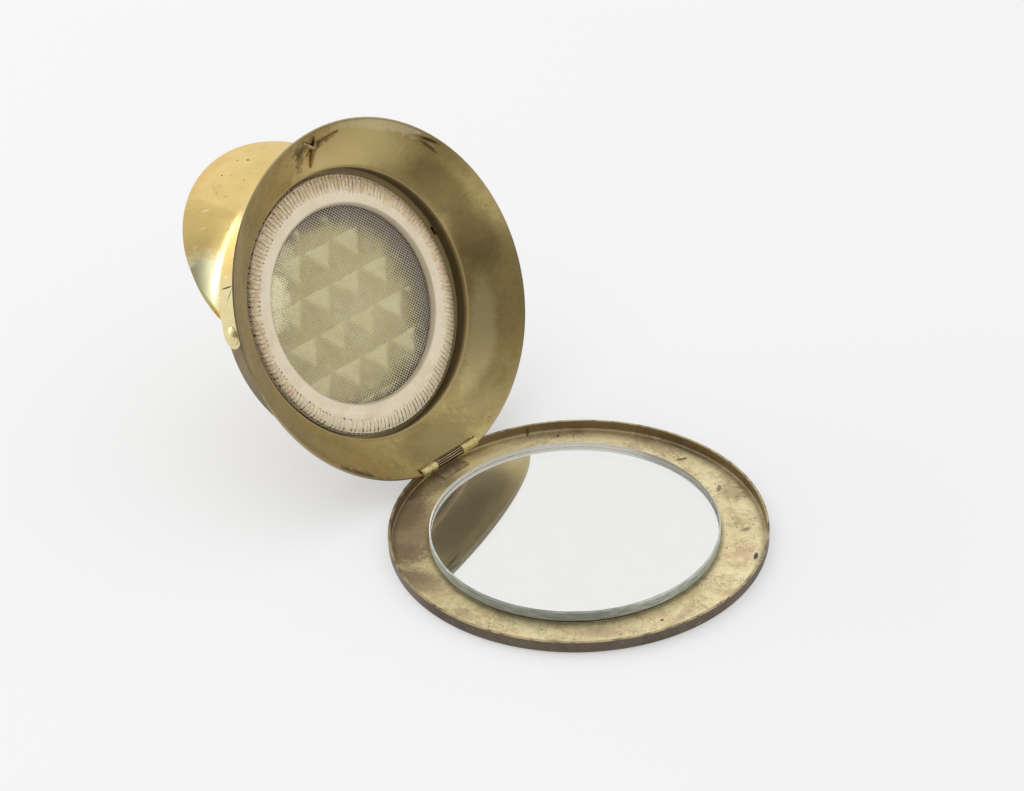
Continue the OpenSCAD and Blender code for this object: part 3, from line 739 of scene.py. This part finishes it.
# The lid's knuckle is grimy, with bright lines along it, partly worn smooth and partly painted highlights
def makeKnuckleBrass(settings):
    material = newMaterial("knuckleBrass")
    place = placeInMm()
    _, back, up = split(vectorMaths("SUBTRACT", place, pin / mm))
    smear = cloudNoise(vectorMaths("MULTIPLY", place, (0.5, 3.0, 3.0)), 1.0, 5, 0.7)
    angle = plus(maths("DEGREES", maths("ARCTAN2", up, back)), times(minus(smear, 0.5), 14.0))
    near = maths("LESS_THAN", length(joined(back, up)), settings["radius"])
    worn = 0.0
    for middle, half in settings["lines"]:
        worn = most(worn, ease(maths("ABSOLUTE", minus(angle, middle)), half, half * 0.5))
    worn = times(worn, near, 0.85)
    knuckle = mixed(ease(smear, 0.4, 0.6), settings["grime"], settings["dark"])
    foot = mixed(ease(cloudNoise(place, 0.7, 5, 0.65), 0.4, 0.6), settings["foot"], settings["footDull"])
    colour = mixed(worn, mixed(near, foot, knuckle), settings["worn"])
    height = plus(times(smear, 0.1), times(worn, 0.08))
    return finish(material, colour, plus(times(worn, -0.2), 0.55), plus(times(near, 0.5), 0.4), height)


dress(makeKnuckleBrass(knuckleBrass), "hinge_lid_leaf")

wellBrass = dict(
    clean=paint(218, 204, 156), dull=paint(199, 184, 138), stain=paint(176, 160, 118), roughness=0.28,
    cloudSize=10.0, mottle=0.15, stains=0.3,
    # paints for the painted highlight on the front faces, the painted shadow of the dark rim, the painted shadow next
    # to the sifter, and the lip
    face=paint(255, 249, 206), rimShadow=(paint(84, 74, 70), 0.85), flange=paint(60, 46, 38), lip=paint(180, 160, 112),
    powdered=0.8,
    # the plate's pyramids: spacing, where their middle row lies, half their size, and how far the painted highlight of
    # the front face overlaps
    pitch=8.3, rowPlace=-1.2, halfX=3.9, halfY=4.1, past=0.3,
    # the painted highlights lie on a disc, off centre, with a painted shadow as its dark rim. The lip lies outside it,
    # by radius from the cap's axis
    brightPlace=(-2.8, 1.2, 0), brightRadius=20.0, lipFrom=(24.4, 25.4), flangeFrom=(27.8, 26.6),
)


def makeWellBrass(settings):
    material = newMaterial("wellBrass")
    place, flare = useGroup(capPlace)
    x, y, _ = split(place)
    radius = split(flare)[2]
    colour, rough, height = aged(place, settings)
    pitch, past, bright = settings["pitch"], settings["past"], settings["brightRadius"]
    # painted highlights on the pyramids' front faces
    rows = maths("DIVIDE", minus(y, settings["rowPlace"]), pitch)
    row = maths("ROUND", rows)
    up = times(minus(rows, row), -pitch / settings["halfY"])
    shift = plus(times(maths("COMPARE", row, -1.0, 0.1), 0.5), 0.4)
    columns = minus(maths("DIVIDE", x, pitch), shift)
    across = maths("ABSOLUTE", times(minus(columns, maths("ROUND", columns)), pitch / settings["halfX"]))
    wobble = wander(0.4, place, 0.4, 3)
    reach = plus(maths("DIVIDE", plus(up, past), 1 + past), wobble)
    face = times(ease(minus(reach, across), -0.16, 0.3), ease(plus(up, wobble), 1.06, 0.94))
    face = times(face, plus(times(ease(cloudNoise(place, 0.5, 4), 0.3, 0.6), 0.25), 0.75))
    # between the faces the painted shadow of the rim starts further in
    edge = plus(fromAxis(place, settings["brightPlace"]), wander(4.0, place, 0.35, 4))
    rimShadow = ease(edge, bright - 0.2, bright + 1.4)
    face = times(face, rest(rimShadow))
    rimShadow = most(rimShadow, times(ease(edge, bright - 3.2, bright + 0.8), rest(face)))
    colour = mixed(face, colour, settings["face"])
    colour = laid(colour, rimShadow, *settings["rimShadow"])
    # the lip, with painted shadow on it next to the sifter, darkest at the front
    front = ease(maths("DIVIDE", y, -28.0), -0.2, 0.8)
    lip = ease(radius, *settings["lipFrom"])
    colour = mixed(lip, colour, settings["lip"])
    shadowBeside = times(lip, ease(radius, *settings["flangeFrom"]), plus(times(front, 0.45), 0.35))
    colour = mixed(shadowBeside, colour, settings["flange"])
    return finish(material, colour, rough, 1.0 - settings["powdered"], height, 0.6)


wellMaterial = makeWellBrass(wellBrass)
dress(wellMaterial, "powder_well")

embossedPlate = dict(
    top=16.82, sheet=0.2, height=1.4, sharpness=7.0, hollow=1.2, dent=0.05, rings=96, steps=420,
    # how far each row is shifted along, as a share of the pitch
    usualShare=0.4, rowShares={-1: 0.9}, lastRow=2,
)


def thicken(piece, name, thickness, offset):
    solid = piece.modifiers.new(name, "SOLIDIFY")
    solid.thickness = thickness * mm
    solid.offset = offset


# The plate pressed into pyramids with soft ridges and slightly hollow sides
def makeEmbossedPlate(settings):
    low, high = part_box("embossed_plate")
    plateRadius = (high[0] - low[0]) / 2 / mm
    pitch, rowPlace, halfX, halfY = (wellBrass[key] for key in ("pitch", "rowPlace", "halfX", "halfY"))
    rings, steps, power = settings["rings"], settings["steps"], settings["sharpness"]
    points = [(0.0, 0.0)]
    for ring in range(1, rings + 1):
        r = plateRadius * ring / rings
        points += [(r * cos(angle), r * sin(angle)) for angle in fullTurn(steps)]
    raised = []
    for x, y in points:
        row = round((y - rowPlace) / pitch)
        share = settings["rowShares"].get(row, settings["usualShare"])
        middleX, middleY = (round(x / pitch - share) + share) * pitch, rowPlace + row * pitch
        height = 0.0
        if abs(row) <= settings["lastRow"] and hypot(middleX, middleY) + 5.0 < plateRadius:
            away = (abs((x - middleX) / halfX) ** power + abs((y - middleY) / halfY) ** power) ** (1 / power)
            height = settings["height"] * max(0.0, 1 - away) ** settings["hollow"]
        dent = settings["dent"] * ripple(x * 0.25, y * 0.25, 6.0)
        raised.append((x, y, settings["top"] - height + dent * (1 - (x * x + y * y) / plateRadius ** 2)))
    faces = [(0, 1 + (k + 1) % steps, 1 + k) for k in range(steps)]
    faces += netFaces(rings, steps, base=1, around=False, closed=True, flip=True)
    piece = buildMesh("embossedPlate", raised, faces, openTurn)
    thicken(piece, "plateThickness", settings["sheet"], -1.0)
    return fit(piece, "cap", "well_brass", "embossed_plate", wellMaterial)


makeEmbossedPlate(embossedPlate)

solderMetal = dict(
    clean=paint(206, 184, 136), dull=paint(104, 84, 54), stain=paint(56, 42, 28), roughness=0.45,
    mottle=0.9, stains=0.7, specks=0.5, scratches=0.0,
)
dress(makeBrass("solderMetal", solderMetal), "badge_solder")
print("cap done")


gauze = dict(
    radius=25.1, level=13.98, turn=49.0, thick=0.15, wave=0.05,
    # pitch and width of the threads, for the one way and the other
    sets=[(0.52, 0.17), (0.6, 0.13)],
    # how far the threads wander and vary, and how much the powder widens them
    drift=0.10, ownDrift=0.05, loose=0.15, clogging=2.6,
    light=paint(255, 249, 208), dark=paint(247, 236, 194), powder=(255, 245, 206), alpha=0.78,
    # painted shade for the threads over the dark rim of the plate
    shadeOverRim=paint(226, 214, 198),
    # place, reach and strength of the powder that clings to it
    powderSpots=[(-17.2, -9.6, 5.0, 1.0), (-19.4, -4.5, 3.2, 0.8), (-12.0, -15.5, 4.5, 0.4), (0, 2, 9, 0.2),
                 (10.0, 14.0, 5.0, 0.15)],
)


# How much powder fills the gauze there, from 0 to 1
def powderAt(x, y):
    amount = 0.0
    for px, py, reach, strength in gauze["powderSpots"]:
        away = hypot(x - px, y - py) / reach + 0.5 * ripple(x * 0.5, y * 0.5, 3.0)
        amount = max(amount, strength * held(1.6 - 1.5 * away))
    return amount


# Sweeps an oval along a line. Side is the direction across it, and it and the half width may change on the way
def tube(points, faces, line, side, halfWidth, halfThick, sides=6, closed=False):
    base, count, angles = len(points), len(line), fullTurn(sides)
    for i, centre in enumerate(line):
        before = line[i - 1] if i or closed else centre
        after = line[(i + 1) % count] if i < count - 1 or closed else centre
        way = (after - before).normalized()
        across = side[i] if isinstance(side, list) else side
        up = way.cross(across).normalized()
        across = up.cross(way).normalized()
        wide = halfWidth[i] if isinstance(halfWidth, list) else halfWidth
        for angle in angles:
            points.append(centre + across * (wide * cos(angle)) + up * (halfThick * sin(angle)))
    faces += netFaces(count, sides, base, around=closed, closed=True)
    if not closed:
        faces.append([base + j for j in range(sides)])
        faces.append([base + (count - 1) * sides + j for j in range(sides)][::-1])


def makeGauze(settings):
    radius = settings["radius"]
    points, faces = [], []
    for setIndex in (0, 1):
        pitch, width = settings["sets"][setIndex]
        crossing = settings["sets"][1 - setIndex][0]
        turn = radians(settings["turn"] + 90 * setIndex)
        way = Vector((cos(turn), sin(turn), 0))
        across = Vector((-sin(turn), cos(turn), 0))
        wave = settings["wave"] if setIndex else -settings["wave"]
        half = int(radius / pitch)
        for i in range(-half, half + 1):
            offset = i * pitch
            reach = int(sqrt(max(0.0, radius ** 2 - offset ** 2)) / crossing)
            if reach < 2:
                continue
            line, widths = [], []
            for step in range(-2 * reach, 2 * reach + 1):
                t = step * crossing / 2
                x, y, _ = way * t + across * offset
                drift = settings["drift"] * ripple(x * 0.12, y * 0.12, 7.0 * setIndex)
                drift += settings["ownDrift"] * ripple(i * 3.7, t * 0.25, 20.0 + setIndex)
                lift = wave * cos(pi * t / crossing + pi * i)
                line.append(way * t + across * (offset + drift) + Vector((0, 0, settings["level"] + lift)))
                loose = 1 + settings["loose"] * ripple(i * 1.3, t * 0.8, 50.0)
                widths.append(width / 2 * loose * (1 + settings["clogging"] * powderAt(x, y)))
            tube(points, faces, line, across, widths, settings["thick"] / 2, 4)
    piece = buildMesh("gauzeWeave", points, faces, openTurn)
    material = newMaterial("gauzeSilk")
    place, _ = useGroup(capPlace)
    colour = mixed(ease(cloudNoise(place, 0.35, 6, 0.7), 0.4, 0.62), settings["light"], settings["dark"])
    bright = wellBrass["brightRadius"]
    # painted shade on the threads over the dark rim of the plate
    shadeOverRim = ease(fromAxis(place, wellBrass["brightPlace"]), bright - 2.5, bright + 1.5)
    colour = mixed(shadeOverRim, colour, settings["shadeOverRim"])
    spots = [((px, py, settings["level"]), (reach * 1.1, reach * 1.1, 9), 0, 0.5, strength, settings["powder"])
             for px, py, reach, strength in settings["powderSpots"]]
    colour, powder = marksOn(place, colour, spots, 0.8)
    alpha = plus(times(powder, 1 - settings["alpha"]), settings["alpha"])  # silk lets light through
    finish(material, colour, 0.65, height=times(cloudNoise(place, 9.0, 2), 0.02), Alpha=alpha, Sheen_Weight=0.1)
    fit(piece, "sifter", "gauze", "sifter_gauze", material)
    return piece


makeGauze(gauze)

ribbon = dict(
    outer=26.2, inner=21.285, top=12.84, fold=0.45, thick=0.26, steps=360,
    pucker=0.05, puckerFrom=21.5, swell=0.10, swellFrom=21.2, slack=0.08, unevenFold=0.08,
    tuck=0.16, tuckAt=219, tuckFrom=23.0,
    light=paint(250, 237, 210), dark=paint(240, 225, 196), grime=(paint(206, 186, 156), 0.5), grimeFrom=(24.3, 25.6),
    hemShade=(paint(120, 104, 74), 0.6), holePaint=(paint(104, 82, 60), 0.8), holes=168, holeRadius=24.75,
    holeEdge=(0.28, 0.14), ribPitch=0.28, ribDegrees=0.8,
    # where the stitches reach in to: middle radius, and the shares of sine, cosine and cosine of twice the angle
    stitchReach=(23.75, -0.45, -0.35, 0.1),
)


# The edge isn't quite round: fuller towards the hinge, tighter on the right
def edgeWander(angle):
    return -0.18 * sin(angle) + 0.69 * cos(2 * angle) - 0.24 + 0.04 * sin(7 * angle)


# The fold round the gauze lies a little to the left
def foldWander(angle):
    return -0.3 * sin(angle) + 0.125 * cos(2 * angle) - 0.125


def stitchReach(angle):
    middle, sine, cosine, twice = ribbon["stitchReach"]
    return middle + sine * sin(angle) + cosine * cos(angle) + twice * cos(2 * angle)


# Height added to the ribbon's upper face: puckers from the stitches, slack, and a tuck in the lower left part
def ribbonTop(angle, radius):
    x, y = cos(angle), sin(angle)
    pucker = ribbon["pucker"] * ripple(x * 26, y * 26, radius * 0.25) * max(0.0, (radius - ribbon["puckerFrom"]) / 4)
    swell = ribbon["swell"] * sin(pi * held((radius - ribbon["swellFrom"]) / 4.0))
    slack = ribbon["slack"] * ripple(x * 3, y * 3, radius * 0.12)
    tuck = max(0.0, cos(min(pi / 2, abs(angle - radians(ribbon["tuckAt"])) * 2.6)))
    tuck *= held((radius - ribbon["tuckFrom"] - 0.35 * sin(angle * 5)) / 0.12)
    return pucker - swell + slack - ribbon["tuck"] * tuck


def makeRibbonCloth(settings):
    material = newMaterial("ribbonCloth")
    place, flare = useGroup(capPlace)
    degrees, _, radius = split(flare)
    colour = mixed(ease(cloudNoise(place, 0.16, 5, 0.6), 0.4, 0.65), settings["light"], settings["dark"])
    # handled dirt towards the stitches
    edge = ease(plus(radius, cloudNoise(place, 0.8, 5, 0.7)), *settings["grimeFrom"])
    colour = laid(colour, edge, *settings["grime"])
    hem = ease(radius, settings["inner"] + 0.25, settings["inner"] - 0.45)
    colour = laid(colour, hem, *settings["hemShade"])
    # the needle holes where the overlock thread goes in, most of them on the left
    around = maths("RADIANS", degrees)
    sine, cosine, twice = (maths(kind, turn) for kind, turn in (
        ("SINE", around), ("COSINE", around), ("COSINE", times(around, 2.0))))
    middle, sineShare, cosineShare, twiceShare = settings["stitchReach"]
    ragged = cloudNoise(place, 1.1, 2)
    reach = plus(times(sine, sineShare), times(cosine, cosineShare), times(twice, twiceShare), middle + 0.05)
    reach = plus(reach, times(minus(ragged, 0.5), 0.9))
    turns = plus(times(degrees, settings["holes"] / 360), times(ragged, 0.6))
    holePitch = 2 * pi * settings["holeRadius"] / settings["holes"]
    sideways = times(minus(maths("FRACT", turns), 0.5), holePitch)
    hole = ease(length(joined(sideways, minus(radius, reach))), *settings["holeEdge"])
    gate = minus(cloudNoise(place, 0.5, 3), plus(times(sine, 0.22), 0.13))
    hole = times(hole, ease(gate, 0.46, 0.54))
    colour = laid(colour, hole, *settings["holePaint"])
    # woven ribs
    weave = maths("SINE", times(radius, 2 * pi / settings["ribPitch"]))
    ribs = maths("SINE", times(degrees, 2 * pi / settings["ribDegrees"]))
    height = plus(times(weave, 0.008), times(ribs, 0.006), times(hole, -0.15))
    return finish(material, colour, 0.75, height=height, Sheen_Weight=0.25)


def makeRibbon(settings):
    steps, fold = settings["steps"], settings["fold"]
    # share of the width from the outer edge in, or the turn round the fold in degrees
    across = [("top", k / 12) for k in range(13)]
    across += [("fold", 180 * k / 8) for k in range(1, 8)]
    across += [("bottom", 1 - k / 4) for k in range(5)]
    points = []
    for angle in fullTurn(steps):
        uneven = ripple(2.2 * cos(angle), 2.2 * sin(angle), 9.0)
        outer = settings["outer"] + min(0.0, edgeWander(angle))
        inner = settings["inner"] + foldWander(angle) + settings["unevenFold"] * uneven
        for kind, value in across:
            if kind == "fold":
                turn = radians(value)
                r = inner - fold * sin(turn)
                z = settings["top"] + fold * (1 - cos(turn)) + ribbonTop(angle, inner) * (1 - value / 180)
            else:
                r = outer + (inner - outer) * value
                z = settings["top"] + (ribbonTop(angle, r) if kind == "top" else 2 * fold)
            points.append(capPoint(angle, r, z))
    piece = buildMesh("ribbonBinding", points, netFaces(steps, len(across), flip=True), openTurn)
    thicken(piece, "ribbonThickness", settings["thick"], 0)
    return fit(piece, "sifter", "ribbon", "sifter_binding", makeRibbonCloth(settings))


ribbonPiece = makeRibbon(ribbon)

overlock = dict(
    count=168, strands=3, strandRadius=0.125, sides=6,
    # radius and level of the thread as it wraps the edge, from its upper hole to its lower one
    wrap=[(0.0, 12.72), (0.16, 12.52), (0.45, 12.48), (0.7, 12.52), (0.9, 12.80), (1.0, 13.25),
          (1.0, 13.95), (0.9, 14.38), (0.7, 14.46), (0.45, 14.44)],
    edgeRadius=26.84,
    # level, radius and phase of the threads that lock the stitches along the edge, and their own radius
    locks=[(13.6, 26.92, 0.0), (12.72, 26.6, 1.4)], lockRadius=0.12,
    hairs=260, hairRadius=0.022,
    core=[(24.0, 12.84), (25.0, 12.76), (26.1, 12.84), (26.5, 13.2), (26.5, 13.95), (26.2, 14.34), (25.6, 14.42),
          (25.1, 14.3)],
    coreSteps=240,
    tan=paint(236, 214, 170), pink=paint(230, 200, 166), yellow=(paint(228, 212, 150), 0.8),
    pale=(paint(255, 247, 222), 0.65), shade=paint(176, 146, 104), rightShade=paint(168, 138, 98),
)


def makeThread(name, settings, shadeShare):
    material = newMaterial(name)
    place, flare = useGroup(capPlace)
    degrees, _, radius = split(flare)
    patch = cloudNoise(place, 0.3, 4, 0.6)
    other = cloudNoise(vectorMaths("ADD", place, (40, 17, 5)), 0.4, 4, 0.65)
    fine = cloudNoise(place, 1.1, 4, 0.7)
    colour = mixed(ease(patch, 0.46, 0.58), settings["tan"], settings["pink"])
    colour = laid(colour, ease(other, 0.54, 0.64), *settings["yellow"])
    colour = laid(colour, ease(fine, 0.44, 0.6), *settings["pale"])
    # painted shade on the right, and painted light towards the hinge
    turn = maths("RADIANS", degrees)
    right = times(clamped(times(maths("SINE", turn), 0.8)), ease(radius, 23.8, 26.4))
    colour = mixed(right, colour, settings["rightShade"])
    colour = mixed(clamped(times(maths("COSINE", turn), -0.6)), colour, settings["pale"][0])
    colour = mixed(shadeShare, colour, settings["shade"])
    twist = addNode("TexWave", {"Vector": place, "Scale": 1.3, "Distortion": 2.0}, bands_direction="DIAGONAL")[1]
    return finish(material, colour, 0.8, height=times(twist, 0.04), Sheen_Weight=0.15)


def makeOverlock(settings):
    rng = random.Random(4)
    points, faces = [], []
    count, thin, wrap = settings["count"], settings["strandRadius"], settings["wrap"]
    for k in range(count):
        middle = 2 * pi * (k + 0.5 + rng.uniform(-0.14, 0.14)) / count
        lean = rng.uniform(-0.006, 0.006) + 0.008
        inner = stitchReach(middle) + rng.uniform(-0.25, 0.15)
        width = settings["edgeRadius"] + edgeWander(middle) - inner
        high = rng.uniform(-0.04, 0.04)
        for s in range(settings["strands"]):
            spread = (s - (settings["strands"] - 1) / 2) * rng.uniform(0.0085, 0.011)
            lift = high + rng.uniform(-0.04, 0.06)
            line, sides = [], []
            for j, (part, z) in enumerate(wrap):
                share = j / (len(wrap) - 1)
                angle = middle + spread * min(1.0, 0.25 + 2.6 * share) + lean * (share - 0.3) * 3
                r = inner + width * part + (lift if 3 < j < 7 else 0)
                line.append(capPoint(angle, r, z - (lift if 0 < j < 4 else 0)))
                sides.append(Vector((cos(angle), sin(angle), 0)))
            tube(points, faces, line, sides, thin, thin, settings["sides"])
    for level, radius, phase in settings["locks"]:
        line, sides = [], []
        for k, angle in enumerate(fullTurn(count * 4)):
            r = radius + edgeWander(angle) + 0.08 * cos(pi * k / 2 + phase)
            z = level + 0.2 * sin(pi * k / 2 + phase) + 0.1 * ripple(k * 0.2, phase, 0)
            line.append(capPoint(angle, r, z))
            sides.append(capPoint(angle, 1, 0))
        tube(points, faces, line, sides, settings["lockRadius"], settings["lockRadius"], 5, closed=True)
    # stray fluff
    for k in range(settings["hairs"]):
        angle = rng.uniform(0, 2 * pi)
        r = rng.uniform(26.3, 26.95) + edgeWander(angle)
        heading = Vector((rng.uniform(-1, 1), rng.uniform(-1, 1), rng.uniform(-0.9, 0.3))).normalized()
        start = capPoint(angle, r, rng.uniform(12.5, 13.2))
        bow = Vector((rng.uniform(-0.2, 0.2), rng.uniform(-0.2, 0.2), -0.1))
        hair = [start, start + heading * 0.3 + bow * 0.6, start + heading * 0.6 + bow]
        tube(points, faces, hair, capPoint(angle, 1, 0.01), settings["hairRadius"], settings["hairRadius"], 3)
    # the edge of the cloth that they hold
    threadFaces, base = len(faces), len(points)
    steps, core = settings["coreSteps"], settings["core"]
    for angle in fullTurn(steps):
        points += [capPoint(angle, r + (edgeWander(angle) if r > 25.5 else 0.0), z) for r, z in core]
    faces += netFaces(steps, len(core), base, closed=True, flip=True)
    piece = buildMesh("overlockEdge", points, faces, openTurn)
    for polygon in piece.data.polygons:
        polygon.material_index = 1 if polygon.index >= threadFaces else 0
    thread = makeThread("overlockThread", settings, 0.0)
    shade = makeThread("overlockShade", settings, 0.8)
    return fit(piece, "sifter", "thread", "sifter_stitching", thread, shade)


overlockPiece = makeOverlock(overlock)
print("sifter done")


studio = dict(
    floor=paint(243, 243, 243), floorShade=paint(222, 222, 222), floorKept=0.5, floorReach=6.0,
    floorZ=-0.0002, ambient=0.84, shownWhite=paint(247, 247, 247),
    dim=paint(140, 137, 132), dimSide=(-0.62, -0.62, 0.48), dimFrom=0.3, dimTo=0.9,
    # place, width, height and power of each lamp, and whether metal shows it
    lamps=dict(
        overheadSoftbox=((-0.1, 0.35, 1.05), 1.2, 1.2, 2.6, False),
        backSoftbox=((-0.52, 1.30, 0.56), 1.4, 0.34, 4.6, True),
    ),
    lampAim=(0, 0.03, 0.02),
)


# Rays straight from the camera, off metal and through glass
def shownRays():
    path = addNode("LightPath")
    return [path["Is " + kind + " Ray"] for kind in ("Camera", "Glossy", "Transmission")]


def mixedShader(share, first, second):
    return addNode("MixShader", {0: share, 1: first, 2: second})[0]


def makeStudio(settings):
    reach, z = settings["floorReach"], settings["floorZ"]
    mesh = bpy.data.meshes.new("table")
    corners = [(-reach, -reach, z), (reach, -reach, z), (reach, reach, z), (-reach, reach, z)]
    mesh.from_pydata(corners, [], [(0, 1, 2, 3)])
    newObject("table", mesh)
    mesh.materials.append(newMaterial("tablePaper"))
    paper = cloudNoise(addNode("TexCoord")["Object"], 3.0, 3)
    colour = mixed(times(paper, 0.04), settings["floor"], settings["floorShade"])
    matte = addNode("BsdfPrincipled", {"Base Color": colour, "Roughness": 0.85, "Specular IOR Level": 0.0})[0]
    # what the camera and the metal see of the floor is lifted, and keeps a faint shadow
    lit = addNode("Emission", {"Color": colour, "Strength": 1.0})[0]
    addNode("OutputMaterial", {0: mixedShader(times(most(*shownRays()), settings["floorKept"]), matte, lit)})
    world = bpy.data.worlds.new("studioWorld")
    scene.world = world
    world.use_nodes = True
    building["tree"] = world.node_tree
    building["tree"].nodes.clear()
    rays = shownRays()
    # the camera's side of the studio is dimmer than the rest
    facing = along(addNode("TexCoord")["Generated"], settings["dimSide"])
    around = mixed(ease(facing, settings["dimFrom"], settings["dimTo"]), settings["shownWhite"], settings["dim"])
    plain, shown, backdrop = (addNode("Background", {"Color": tint, "Strength": strength})[0] for tint, strength in (
        ((1, 1, 1, 1), settings["ambient"]), (around, 1.0), (settings["shownWhite"], 1.0)))
    both = mixedShader(most(*rays), plain, shown)
    addNode("OutputWorld", {0: mixedShader(rays[0], both, backdrop)})
    for label, (place, width, height, power, inMetal) in settings["lamps"].items():
        light = bpy.data.lights.new(label, "AREA")
        light.shape = "RECTANGLE"
        light.size, light.size_y, light.energy = width, height, power
        lamp = newObject(label, light)
        lamp.location = place
        lamp.visible_glossy = lamp.visible_transmission = inMetal
        lamp.rotation_euler = (Vector(settings["lampAim"]) - lamp.location).to_track_quat("-Z", "Y").to_euler()


makeStudio(studio)

view = dict(
    place=(-0.3028, -0.2747, 0.2959), forward=(0.6063, 0.5839, -0.5399), roll=-2.27,
    lens=88.54, sensor=36.0,
)


def makeCamera(settings):
    data = bpy.data.cameras.new("photoView")
    data.lens = settings["lens"]
    data.sensor_width = settings["sensor"]
    data.sensor_fit = "HORIZONTAL"
    data.clip_start, data.clip_end = 0.01, 50
    scene.camera = newObject("photoView", data)
    aim = Vector(settings["forward"]).to_track_quat("-Z", "Y").to_matrix().to_4x4()
    roll = Matrix.Rotation(radians(settings["roll"]), 4, "Z")
    scene.camera.matrix_world = Matrix.Translation(settings["place"]) @ aim @ roll


makeCamera(view)
scene.view_settings.view_transform = "Standard"
print("table, light and camera done")
